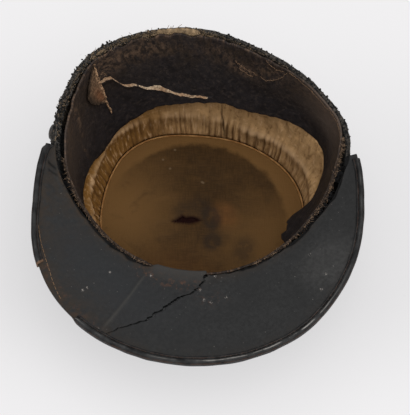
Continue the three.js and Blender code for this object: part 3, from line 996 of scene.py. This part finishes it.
class KEPI_OT_side_lining(Operator):
    """Cotton lining, gathered into pleats at the corded seam"""

    bl_idname = "kepi.side_lining"
    bl_label = "Side lining"

    def execute(self, context):
        count = context.scene.kepi_sizes.pleats
        depth = context.scene.kepi_sizes.pleat_depth
        lining = Form("side_lining")
        drift = Ripple(51, 44, 5)
        strength = Ripple(52, 66, 4)
        puckers = Ripple(53, 170, 9)
        # The share up the lining at which its ridge puffs out, round the cap.
        ridges = [(0, 0.38), (100, 0.4), (114, 0.42), (124, 0.38), (136, 0.38), (150, 0.32)]
        ridges += [(178, 0.4), (205, 0.42), (223, 0.5), (236, 0.56), (246, 0.57), (270, 0.52), (360, 0.38)]

        def pleats(at, share):
            """Height of the pleats from 0 in a fold to 1, and how strong they are there."""
            phase = at / 360 * count * math.pi + 2.4 * drift(at) + 0.35 * drift(at + 40, share)
            fade = [(0, 0.5), (0.12, 1), (0.75, 1), (1, 0.6), (1.3, 0.15), (2.5, 0.05)]
            much = track(share / track(at, ridges), fade)
            return np.abs(np.sin(phase)), much * np.clip(0.75 + 0.7 * strength(at, share * 0.4), 0, 1.4)

        def slit_line(at, share):
            """The angle of the short split in the lining at the back."""
            return 164.5 + 8 * share + 0.9 * puckers(at, share)

        def place(along, across):
            at = along * 360
            crest, much = pleats(at, across)
            puff = bell(across, track(at, ridges) + 0.02 * drift(at), 0.13) * (2.6 + 0.9 * drift(at))
            loose = puckers(at, across) * 0.8 + 0.9 * strength(at, across)
            loose = loose * ease(across, 0.35, 0.6) * (1 - ease(across, 0.85, 1))
            slit = -1.1 * bell(at, slit_line(at, across), 0.9) * ease(across, 0.05, 0.15) * (across < 0.7)
            inwards = crest * much * depth + (puff + loose + slit + 0.3) * MM
            return lining.place(at, across, lining.thick + inwards * ease(across, -0.02, 0.06))

        def marks(along, across):
            at = along * 360
            crest, much = pleats(at, across)
            # Painted shade: the folds of the pleats, the seam and a band a little above the ridge are
            # darkened.
            fold = (1 - crest) ** 1.5 * much
            seam = bell(across, 0, 0.05) * 0.15
            level = track(at, ridges)
            under = 0.4 * bell(across, level + 0.16, 0.06) * (0.5 + 0.5 * drift(at))
            slit = bell(at, slit_line(at, across), 0.35 + 0.6 * (1 - across)) * (across < 0.75)
            slit = slit * ease(across, 0.03, 0.1) * (0.75 + 0.25 * drift(at + 10, across))
            # Behind the band, where it has come away from the wall, the lining is painted near black.
            dark_behind_band = ease(at, 30, 50) * (1 - ease(at, 90, 97)) * ease(across, 0.36, 0.46)
            patchy = np.clip(0.5 + 0.8 * strength(at + 20), 0, 1)
            # Painted highlight along the ridge, in patches.
            ridge = bell(across, level + 0.02 * drift(at), 0.05) * patchy
            drawn = 1 - ease(across, level - 0.02, level + 0.06)
            fold = np.clip(fold + seam + under, 0, 1)
            return {"fold": fold, "ridge": ridge, "drawn": drawn, "slit": np.clip(slit + dark_behind_band, 0, 1)}

        pleat_columns = 9
        bm = sheet((count * pleat_columns, 40), place, closed=True, flip=True, marks=marks, size=(560, 62))
        cotton = finish_for("cotton", cotton_look, context.scene.kepi_colours)
        cloth = add_piece("gathered_lining", bm, cotton, ["side_lining"], 0.5 * MM)
        return {"FINISHED"}


class KEPI_OT_crown_lining(Operator):
    """Glazed cotton disc with its slit of a hole, and the corded seam round it"""

    bl_idname = "kepi.crown_lining"
    bl_label = "Crown lining"

    def execute(self, context):
        dyes = context.scene.kepi_colours
        seam = outline("lining_seam")
        low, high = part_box("lining_seam")
        cord = (high.z - low.z) / 2
        knots = Ripple(61, 180)

        def on_cord(along, across):
            at = along * 360
            ring = seam(at)
            turn = across * 2 * math.pi
            radius = cord * (0.86 + 0.1 * knots(at))
            return polar(at, ring[:, 0] - cord + radius * np.cos(turn), ring[:, 1] + radius * np.sin(turn))

        bm = sheet((540, 10), on_cord, closed=True, size=(430, 6))
        bmesh.ops.recalc_face_normals(bm, faces=bm.faces)
        cotton = finish_for("cotton_cord", cord_look)
        add_piece("corded_seam", bm, cotton, ["lining_seam"])

        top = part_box("crown_lining")[1].z
        swell = Ripple(62, 14, 5)
        frayed = Ripple(63, 80)
        # The hole's upper and lower edges, in millimetres from the middle of the crown.
        upper = [(-18.5, 1.3), (-15, 2.6), (-12.5, 4.9), (-9.5, 3.9), (-4, 4.1), (0, 2)]
        lower = [(-18.5, 1.3), (-13, 0.6), (-7, 0.2), (-3, 1.1), (0, 2)]

        def from_hole(along, across):
            """Points from the hole's edge out to the seam, and how many millimetres from the hole."""
            turn = along * 2 * math.pi
            middle = upper[0][0] / 2
            x = middle - middle * np.sin(turn)
            y = np.where(np.cos(turn) < 0, track(x, upper), track(x, lower))
            y = y + 0.35 * frayed(along * 360) * np.abs(np.cos(turn))
            hole = np.stack([x, y, np.zeros_like(x)], axis=-1) * MM
            edge = polar(along * 360, seam(along * 360)[:, 0] - 1.3 * cord, np.zeros_like(x))
            spot = between(hole, edge, (across**1.4)[:, None])
            return spot, np.linalg.norm(spot - hole, axis=1) / MM

        def on_disc(along, across):
            spot, away = from_hole(along, across)
            spot[:, 2] = top + 0.25 * MM * swell(along * 360, across) * (1 - across**4)
            spot[:, 2] -= 0.45 * MM * bell(away, 0, 3)
            return spot

        def disc_marks(along, across):
            spot, away = from_hole(along, across)
            # The tide mark is a ring of 65 mm radius, set a little to the left and front.
            rim = (np.hypot(spot[:, 0] / MM + 4, spot[:, 1] / MM + 3) - 65) / 14 + 0.5
            return {"rim": np.clip(rim, 0, 1), "burnt": bell(away, 0, 1.6)}

        bm = sheet((260, 72), on_disc, closed=True, flip=True, marks=disc_marks, size=(430, 66))
        glazed = finish_for("glazed_cotton", glazed_look, dyes)
        cloth = add_piece("crown_disc", bm, glazed, ["crown_lining"], 0.5 * MM)
        return {"FINISHED"}


# ---- The peak ----

PEAK_WAVE = Ripple(71, 22, 3)
GAP_WAVE = Ripple(77, 120)
# Reddish scuffs: angle, share out, spread of each and strength.
SCUFFS = [(-27, 0.08, 3.5, 0.07, 0.8), (-52, 0.93, 3, 0.05, 0.7), (-42, 0.9, 10, 0.07, 0.5)]
SCUFFS += [(-30, 0.93, 2.5, 0.07, 0.6), (5, 0.28, 5, 0.08, 0.55)]
# How much of its full width the tear is open, by the share out across the peak.
TEAR_OPEN = [(0, 0.25), (0.06, 0.5), (0.2, 0.8), (0.32, 1), (0.5, 0.8), (0.68, 0.55), (0.85, 0.25)]
TEAR_OPEN += [(1, 0.05)]
# The radius at which the tear starts at the rim, and at which it ends at the binding.
TEAR_RADII = (72 * MM, 128 * MM)


def tear_line(peak):
    """Where the CAD part's tear runs: shares across the peak from the rim out, and their angles."""
    at, radius, _ = measured("peak_lining_left")
    inner, outer = (peak.faces(at, np.full(len(at), s))[:, 0, 0] for s in (0.0, 1.0))
    share = (radius - inner) / (outer - inner)
    rows = grouped(share, 0.03)
    return [share[row].mean() for row in rows], [at[row].max() for row in rows]


def spread(peak, at, share):
    """The share out on the worn peak, which has flattened and spread a little at its corners."""
    wider = [(-95, 1.2), (-75, 1.2), (-58, 2.3), (-40, 1.4), (-20, 0.8), (0, 0.4), (20, 0.6)]
    wider += [(40, 1.4), (58, 2.3), (75, 1.1), (95, 0.8)]
    return share * (1 + track(at, wider) * MM / peak.width(at))


def gap_share(peak, at):
    """How far out the gap along the band reaches, as a share of the peak's width."""
    open_by = [(-92, 0.2), (-80, 0.4), (-70, 0.8), (-60, 1.9), (-42, 2.2), (-29, 1.8), (-24, 0), (5, 0)]
    open_by += [(12, 0.5), (30, 1.4), (60, 1.3), (84, 1.3), (96, 1.6)]
    return track(at, open_by) * (1 + 0.5 * GAP_WAVE(at)) * MM / peak.width(at)


def on_under_leather(peak, at, share, lift=0.0):
    """Points on top of the under leather, that far above where the CAD part has it."""
    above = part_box("peak_lining_left")[1].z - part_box("peak")[1].z
    wave = PEAK_WAVE(at, share) * 0.35 * MM
    crease = 0.7 * MM * bell(at, -24.5 - 4 * share, 0.6) * ease(share, 0, 0.2)
    gap = gap_share(peak, at)
    sunk = 0.8 * MM * (1 - ease(share, 0.75 * gap, 1.25 * gap + TINY)) * (gap > 0)
    return peak.place(at, spread(peak, at, share), -(above + wave + crease - sunk + lift))


def on_tab(at, share):
    """The strip of the left piece that has lifted off the rim."""
    return ease(at, -27, -21) * (1 - ease(at, 3, 6)) * np.clip(1 - share / 0.13, 0, 1)


def peak_wear(peak, at, share):
    """The masks of wear on the peak's under leather, and of the painted shade in its gap and slits."""
    edge = bell(share, 0, 0.09) * 0.9 + bell(share, 1, 0.12) * 0.6
    side = ease(-at, 40, 80) * (0.45 + 0.4 * bell(share, 0.9, 0.25))
    front = 0.35 * bell(at, -38, 12) * ease(share, 0.3, 0.8)
    bare = np.clip(edge * (0.4 + 0.6 * ease(-at, 0, 40)) + side + front, 0, 1)
    blue = bell(at, -38, 30) * bell(share, 0.45, 0.35)
    creased = bell(at, -24.5 - 4 * share, 0.5) * ease(share, 0.05, 0.2) * (1 - ease(share, 0.8, 0.95))
    # Painted shade: near black in the gap along the band and in the slits.
    gap = gap_share(peak, at)
    gap = (1 - ease(share, 0.7 * gap, 1.2 * gap + TINY)) * (gap > 0)
    rust = bell(share, 0.13, 0.05) * ease(at, -31, -25) * (1 - ease(at, -4, 4))
    rust = rust + blots(at, share, SCUFFS)
    slits = bell(at + 6 * share, -86.5, 0.7) + 0.8 * bell(at + 6 * share, -83.6, 0.5)
    slits = slits * ease(share, 0.1, 0.2) * (1 - ease(share, 0.5, 0.6))
    found = {"bare": bare, "blue": blue, "rust": np.clip(rust, 0, 1), "tab": on_tab(at, share)}
    found.update({"creased": creased, "gap": np.clip(gap + slits, 0, 1)})
    return found


class KEPI_OT_peak(Operator):
    """Peak: a varnished upper leather, which faces down, and an under leather torn in two"""

    bl_idname = "kepi.peak"
    bl_label = "Peak"

    def execute(self, context):
        dyes = context.scene.kepi_colours
        peak = Form("peak", start=-180, flat=True)

        def upper(along, across):
            at = peak.angle(along)
            return peak.place(at, spread(peak, at, across), -0.35 * MM * PEAK_WAVE(at, across))

        bm = sheet((240, 40), upper, flip=True, size=(330, 50))
        varnish = finish_for("peak_leather", varnish_look, dyes)
        add_piece("peak_upper", bm, varnish, ["peak"], peak.thick)

        tear_shares, tear_angles = tear_line(peak)
        steps = np.linspace(0, 1, 90)
        random = np.random.default_rng(72)
        jag = random.normal(0, 0.5, 90) + np.interp(steps, steps[::9], random.normal(0, 0.7, 10))
        jag = jag * (1 - 0.65 * ease(steps, 0.4, 0.8))

        def torn_edge(share, side):
            """The angle of the tear's left or right side."""
            half = track(share, TEAR_OPEN) * context.scene.kepi_sizes.tear / 2
            radius = between(*TEAR_RADII, share)
            middle = np.interp(share, tear_shares, tear_angles) + np.interp(share, steps, jag)
            return middle + side * np.degrees(half / radius)

        def on_left(along, across):
            edge = torn_edge(across, -1)
            at = between(peak.first, edge, along)
            near = bell((edge - at) * 1.7, 0, 9) * bell(across, 0.35, 0.3)
            tab = on_tab(at, across)
            share = across - tab**1.5 * 2.4 * MM / peak.width(at)
            return on_under_leather(peak, at, share, (0.5 * near + 1.1 * tab) * MM)

        def on_right(along, across):
            edge = torn_edge(across, 1)
            at = between(edge, peak.last, along)
            frayed = Ripple(73, 200)(at) * 0.5 * MM * np.clip(1 - across / 0.04, 0, 1)
            return on_under_leather(peak, at, across + frayed / peak.width(at))

        def left_marks(along, across):
            return peak_wear(peak, between(peak.first, torn_edge(across, -1), along), across)

        def right_marks(along, across):
            return peak_wear(peak, between(torn_edge(across, 1), peak.last, along), across)

        leather = finish_for("peak_underside", peak_look, dyes)
        thick = 1 * MM
        bm = sheet((150, 100), on_left, flip=True, marks=left_marks, size=(130, 50))
        add_piece("under_leather_left", bm, leather, ["peak_lining_left"], thick)
        bm = sheet((190, 100), on_right, flip=True, marks=right_marks, size=(170, 50))
        add_piece("under_leather_right", bm, leather, ["peak_lining_right"], thick)
        return {"FINISHED"}


# The binding's section in millimetres: inwards from its outside, and up from the peak's lower face.
BINDING_SECTION = [(5.1, 2.8), (5.1, 3.2), (4.3, 3.5), (3.75, 3.1), (3.2, 3.5), (2.2, 3.75)]
BINDING_SECTION += [(1.2, 3.65), (0.4, 3.2), (0, 2.4), (0, -0.2), (0.4, -0.95), (1.3, -1.3)]
BINDING_SECTION += [(5, -1.25), (5, -0.35), (1.1, -0.3), (1.1, 2.7)]


def on_binding(peak, at, inwards, up):
    """Points of the binding, in millimetres in from its outside and up from the peak's lower face."""
    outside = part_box("peak")[0].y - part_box("binding_front")[0].y
    share = spread(peak, at, 1.0) + (outside - inwards * MM) / peak.width(at)
    return peak.place(at, share, peak.thick - up * MM)


class KEPI_OT_bindings(Operator):
    """Leather binding round the peak's edge, in the two lengths that are left of it"""

    bl_idname = "kepi.bindings"
    bl_label = "Bindings"

    def execute(self, context):
        leather = finish_for("binding_leather", binding_look, context.scene.kepi_colours)
        peak = Form("peak", start=-180, flat=True)
        section = np.array([*BINDING_SECTION, BINDING_SECTION[0]])
        count = len(BINDING_SECTION)
        dents = Ripple(81, 130, 6)

        def highlight_strength(at):
            """How strongly the painted highlight on the crest shows there."""
            keys = [(-62, 0), (-55, 0.5), (-42, 0.6), (-30, 0.15), (-5, 0.25), (8, 0.9), (34, 1), (45, 0.1)]
            return track(at, keys)

        def strip(name, node, folded=False):
            """A length of the binding. Its start is folded round the peak's tip, or worn thin."""
            at, _, _ = measured(node)
            first = peak.first + 0.4 if folded else at.min()
            last = at.max()

            def place(along, across):
                at = between(first, last, along)
                row = across * count
                inwards, up = (np.interp(row, np.arange(count + 1), column) for column in section.T)
                dent = dents(at, np.abs(2 * across - 1)) * 0.13
                end = (1 - ease(at, first, first + 2.5)) ** 2
                if folded:
                    return on_binding(peak, at, inwards + dent + 1.8 * end, up + dent)
                inwards, up = (between(x, core, 0.8 * end) for x, core in ((inwards, 1.3), (up, 1.1)))
                return on_binding(peak, at, inwards + dent * (1 - end), up + dent * (1 - end))

            def marks(along, across):
                at = between(first, last, along)
                row = across * count
                broken = bell(at, last if last < 0 else 200, 0.8)
                # Painted highlight along the crest.
                crest = bell(row, 5.1, 0.28) * highlight_strength(at)
                # Painted shade in the groove; the bare marks are worn leather.
                found = {"groove": bell(row, 3, 0.5), "bare": bell(row, 2.6, 0.4) + bell(row, 7.5, 0.5)}
                found.update({"crest": crest, "torn": np.clip(broken, 0, 1)})
                return found

            steps = int((last - first) * 2.4)  # a little over two for each degree
            bm = sheet((steps, 3 * count), place, closed=True, marks=marks, size=(last - first, 14))
            bmesh.ops.holes_fill(bm, edges=[e for e in bm.edges if e.is_boundary])
            bmesh.ops.recalc_face_normals(bm, faces=bm.faces)
            add_piece(name, bm, leather, [node])

        strip("bound_edge_left", "binding_left", folded=True)
        strip("bound_edge_front", "binding_front")
        return {"FINISHED"}


class KEPI_OT_stitches(Operator):
    """Stitches along the bound edge of the peak"""

    bl_idname = "kepi.stitches"
    bl_label = "Stitches"

    def execute(self, context):
        sizes = context.scene.kepi_sizes
        peak = Form("peak", start=-180, flat=True)
        # A stitch rises from its hole, lies on the leather and dips again, and then leaves a gap.
        along_stitch = np.array([0, 0.08, 0.4, 0.72, 0.8])
        sunk = 0.5 * MM

        def run(line, up, keep, seed):
            """Stitches along a line of (angle, millimetres in from the bound edge), some of them lost."""
            random = np.random.default_rng(seed)
            keys, values = (np.array(c, float) for c in zip(*line))
            at = np.linspace(keys[0], keys[-1], 2000)
            path = on_binding(peak, at, np.interp(at, keys, values), np.full(2000, up))
            run_length = np.concatenate([[0], np.cumsum(np.linalg.norm(np.diff(path, axis=0), axis=1))])
            found = []
            for start in np.arange(0, run_length[-1] - sizes.stitch, sizes.stitch):
                if random.random() > keep:
                    continue
                spots = start + sizes.stitch * along_stitch
                points = np.stack([np.interp(spots, run_length, path[:, k]) for k in range(3)], axis=-1)
                points[[0, -1], 2] -= sunk
                found.append(points)
            return found

        groove = 3.75
        black = run([(-36, groove), (90, groove)], 3.3, 0.9, 2)
        black += run([(-92, groove), (-56, groove)], 3.3, 0.8, 3)
        inner = [(-82, 2.8), (-71, 4.1), (-63, 5.7), (-57, 6.9), (-51.4, 6.6), (-45.8, 4.7), (-42, 3.4)]
        brown = run(inner, 2.7, 1, 4)
        dark = thread_for("thread_black", linear("#1c1815"))
        tan = thread_for("thread_brown", linear("#8a6c50"))
        add_strands("stitches_black", black, sizes.thread / 2, dark, 1)
        add_strands("stitches_brown", brown, sizes.thread / 2, tan, 1)
        return {"FINISHED"}


# ---- Fibres and the button ----


class KEPI_OT_frays(Operator):
    """Matted wool, frayed canvas and broken threads along the rim"""

    bl_idname = "kepi.frays"
    bl_label = "Frays"

    def execute(self, context):
        dyes = context.scene.kepi_colours
        sizes = context.scene.kepi_sizes
        random = np.random.default_rng(91)
        forms = {name: Form(name) for name in ("side_wall", "base_band", "sweatband")}

        def along_rim(name, span, count, share, depth):
            """Random places on a wall, with the way out from the cap at each.

            They lie between these angles, shares up the wall and millimetres in from its outer face.
            """
            at = random.uniform(*span, count)
            roots = forms[name].place(at, random.uniform(*share, count), random.uniform(*depth, count) * MM)
            out = polar(at, np.ones(count), np.zeros(count))
            return roots, out

        def heading(out, outwards, up):
            """The way that each fibre sets off, a little at random."""
            return out * outwards + np.array([0, 0, up]) + random.normal(0, 0.45, out.shape)

        def fringe(name, span, count, share, depth, lean, reach, curl=0.6):
            """Fibres from random places on a wall, that lean (outwards, up) and reach that far at most."""
            roots, out = along_rim(name, span, count, share, depth)
            return fibres(random, roots, heading(out, *lean), reach, curl)

        fuzz = sizes.fuzz
        wool = fringe("base_band", (94, 264), 700, (0.86, 0.98), (-0.3, 0.6), (0.5, 0.7), fuzz, 1.2)
        wool += fringe("side_wall", (94, 266), 700, (0.985, 1.0), (0, 1.4), (0.1, 1), fuzz * 0.8)
        wool += fringe("side_wall", (266, 360), 260, (0.98, 1.0), (0.6, 1.6), (-0.5, 0.8), fuzz * 1.2)
        dark = thread_for("fibre_wool", shade(dyes.wool, 1.2))
        add_strands("rim_fuzz", wool, 0.07 * MM, dark)

        bm = bmesh.new()
        roots, out = along_rim("base_band", (93, 265), 560, (0.8, 0.99), (-0.1, 1))
        more, _ = along_rim("base_band", (215, 265), 300, (0.8, 1.02), (-0.5, 1.2))
        top, _ = along_rim("side_wall", (202, 268), 460, (0.975, 1.0), (0, 3.4))
        for root in np.concatenate([roots, more, top]):
            size = random.uniform(0.4, 1.1, 3) * MM
            turned = Matrix.Rotation(random.uniform(0, 6.3), 4, Vector(random.normal(0, 1, 3)).normalized())
            where = Matrix.Translation(root) @ turned @ Matrix.Diagonal((*size, 1))
            bmesh.ops.create_icosphere(bm, subdivisions=1, radius=1, matrix=where)
        add_piece("rim_tufts", bm, finish_for("wool", wool_look, dyes))

        linen = []
        runs = [((172, 203), 240, (0.985, 1.0), (1.5, 3.4), (0.2, 0.35), 3.2)]
        runs += [((200, 252), 200, (0.97, 1.0), (0.8, 3), (0.2, 0.5), 2.4)]
        runs += [((148, 172), 45, (0.98, 1.0), (1, 2.6), (0.3, 0.5), 2.2)]
        for *where, reach in runs:
            linen += fringe("side_wall", *where, reach * MM, 0.9)
        pale = thread_for("fibre_linen", shade(dyes.canvas, 0.9))
        add_strands("canvas_frays", linen, 0.13 * MM, pale)

        # Whole threads of the canvas have come loose too, and lie along the rim.
        threads = []
        runs = [((180, 199), 34, (-0.6, 2.4)), ((199, 224), 60, (0.4, 4)), ((224, 262), 26, (0, 3))]
        for span, count, depth in runs:
            roots, out = along_rim("side_wall", span, count, (0.99, 1.01), depth)
            round_rim = np.cross([0, 0, 1], out) * random.choice([-1, 1], (count, 1))
            threads += fibres(random, roots, heading(round_rim, 1.2, 0.15), 5.5 * MM, 0.7, 5)
        tan = thread_for("thread_linen", linear("#7c6a55"))
        add_strands("canvas_threads", threads, 0.24 * MM, tan, 0.5)

        # Broken sewing threads stand along both junctions of the peak and the rim.
        broken = []
        for span, count in (((268, 336), 620), ((26, 60), 200), ((60, 100), 420)):
            broken += fringe("sweatband", span, count, (0.985, 1.01), (-0.4, 0.6), (0.9, 0.5), 2.6 * MM, 0.9)
        brown = thread_for("fibre_brown", linear("#40342b"))
        add_strands("broken_threads", broken, 0.28 * MM, brown)

        # Matted hairs of wool reach over the gap, in a few bunches.
        hairs = []
        for middle, count in ((44, 30), (58, 50), (66, 60), (74, 40), (86, 60), (280, 30), (316, 40)):
            span = (middle - 4, middle + 4)
            roots, out = along_rim("sweatband", span, count, (0.985, 1.01), (-1.6, -0.2))
            aside = np.cross([0, 0, 1], out) * random.uniform(-1, 0.6, (count, 1))
            hairs += fibres(random, roots, heading(out + aside, 1, 0.25), 6.5 * MM, 0.5, 5)
        add_strands("rim_hairs", hairs, 0.2 * MM, dark)

        # Paler ends of the sewing threads lie over the gap and onto the peak.
        loose = []
        for span, count in (((300, 336), 90), ((268, 300), 50), ((26, 60), 60), ((60, 100), 130)):
            loose += fringe("sweatband", span, count, (0.99, 1.02), (-0.8, 0.3), (1, 0.2), 4.2 * MM, 1.1)
        pale = thread_for("fibre_pale", linear("#846d58"))
        add_strands("loose_threads", loose, 0.18 * MM, pale)
        return {"FINISHED"}


class KEPI_OT_surface_cracks(Operator):
    """Fine pale cracks on the sweatband"""

    bl_idname = "kepi.surface_cracks"
    bl_label = "Surface cracks"

    def execute(self, context):
        dyes = context.scene.kepi_colours
        band = Form("sweatband")
        random = np.random.default_rng(95)

        def line(points, wobble=0.25):
            """A wavering line over the band, through (angle, share) points."""
            at, share = np.array(points).T
            steps = np.linspace(0, len(points) - 1, 10 * len(points))
            at = np.interp(steps, range(len(points)), at) + random.normal(0, wobble, len(steps))
            share = np.interp(steps, range(len(points)), share) + random.normal(0, wobble / 50, len(steps))
            share, depth = on_sweatband(band, at, share)
            return band.place(at, share, band.thick + depth + 0.05 * MM)

        pale = [line([(149, 0.66), (146, 0.62), (143, 0.68), (141, 0.73), (138.5, 0.84), (137, 0.96)])]
        pale += [line([(148, 0.97), (146, 0.93), (142, 0.9), (139, 0.95)])]
        edge = [(136, 0.98), (130, 0.96), (124, 0.95), (115, 0.94), (107, 0.96), (100, 0.99)]
        pale += [line(edge[:3], 0.5), line(edge[2:5], 0.5), line(edge[4:], 0.5)]
        pale += [line([(163, 0.74), (160, 0.69), (156, 0.66), (151, 0.66)], 0.5)]
        pale += [line([(160, 0.64), (156, 0.6), (153, 0.6)], 0.5)]
        pale += [line([(230, 0.62), (227, 0.72), (223, 0.77), (222, 0.7)], 0.3)]
        skin = thread_for("raw_crack", shade(dyes.flesh, 0.7))
        add_strands("pale_cracks", pale, 0.13 * MM, skin, 0.6)
        return {"FINISHED"}


class KEPI_OT_button(Operator):
    """Side button, which keeps its CAD form"""

    bl_idname = "kepi.button"
    bl_label = "Button"

    def execute(self, context):
        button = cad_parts["side_button"]
        button.data.materials.clear()
        button.data.materials.append(finish_for("button", horn_look))
        return {"FINISHED"}


# ---- The stage ----


class KEPI_OT_stage(Operator):
    """Pale table, soft light from above and the camera"""

    bl_idname = "kepi.stage"
    bl_label = "Stage"

    def execute(self, context):
        scene = context.scene
        bm = bmesh.new()
        bmesh.ops.create_grid(bm, x_segments=1, y_segments=1, size=3)
        mesh = bpy.data.meshes.new("table")
        bm.to_mesh(mesh)
        bm.free()
        mesh.materials.append(finish_for("table", table_look, scene.kepi_colours))
        table = bpy.data.objects.new("table", mesh)
        scene.collection.objects.link(table)

        world = bpy.data.worlds.new("studio")
        world.use_nodes = True
        sky = world.node_tree.nodes["Background"]
        sky.inputs["Color"].default_value = (1, 1, 1, 1)
        sky.inputs["Strength"].default_value = 0.62
        scene.world = world

        def put(name, data, place, aim):
            """Puts a lamp or the camera there, turned towards the aim."""
            made = bpy.data.objects.new(name, data)
            made.location = place
            made.rotation_mode = "QUATERNION"
            made.rotation_quaternion = (Vector(aim) - Vector(place)).to_track_quat("-Z", "Y")
            scene.collection.objects.link(made)
            return made

        # Each lamp's name and place, its width in metres and its power in watts.
        lamps = (("key", (0.3, -0.5, 1.4), 1.2, 9), ("overhead", (-0.1, 0.1, 1.6), 1.4, 6))
        for name, place, size, power in lamps:
            lamp = bpy.data.lights.new(name, "AREA")
            lamp.shape = "DISK"
            lamp.size = size
            lamp.energy = power
            put(name, lamp, place, (0, 0, 0))

        lens = bpy.data.cameras.new("camera")
        lens.lens = 121
        lens.clip_start = 0.05
        camera = put("camera", lens, (0.00343, -0.4104, 0.8689), (0.00343, -0.01586, 0.060))
        scene.camera = camera
        scene.view_settings.view_transform = "Standard"
        return {"FINISHED"}


# ---- The add-on ----

STEPS = (
    KEPI_OT_crown,
    KEPI_OT_cloth_sides,
    KEPI_OT_canvas,
    KEPI_OT_sweatband,
    KEPI_OT_torn_flap,
    KEPI_OT_side_lining,
    KEPI_OT_crown_lining,
    KEPI_OT_peak,
    KEPI_OT_bindings,
    KEPI_OT_stitches,
    KEPI_OT_frays,
    KEPI_OT_surface_cracks,
    KEPI_OT_button,
    KEPI_OT_stage,
)


class KEPI_PT_panel(Panel):
    """The steps that build the cap, in order"""

    bl_idname = "KEPI_PT_panel"
    bl_label = "Kepi Cap"
    bl_space_type = "VIEW_3D"
    bl_region_type = "UI"
    bl_category = "Kepi"

    def draw(self, context):
        for step in STEPS:
            self.layout.operator(step.bl_idname)
        for group in (context.scene.kepi_sizes, context.scene.kepi_colours):
            box = self.layout.box()
            for name in group.bl_rna.properties.keys():
                if name not in ("rna_type", "name"):
                    box.prop(group, name)


CLASSES = (KepiColours, KepiSizes, *STEPS, KEPI_PT_panel)


def register():
    for kind in CLASSES:
        bpy.utils.register_class(kind)
    bpy.types.Scene.kepi_colours = PointerProperty(type=KepiColours)
    bpy.types.Scene.kepi_sizes = PointerProperty(type=KepiSizes)


def unregister():
    del bpy.types.Scene.kepi_sizes
    del bpy.types.Scene.kepi_colours
    for kind in reversed(CLASSES):
        bpy.utils.unregister_class(kind)


def main():
    """Builds the cap."""
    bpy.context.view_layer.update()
    register()
    for step in STEPS:
        build = getattr(bpy.ops.kepi, step.bl_idname.removeprefix("kepi."))
        build()


if __name__ == "__main__":
    main()
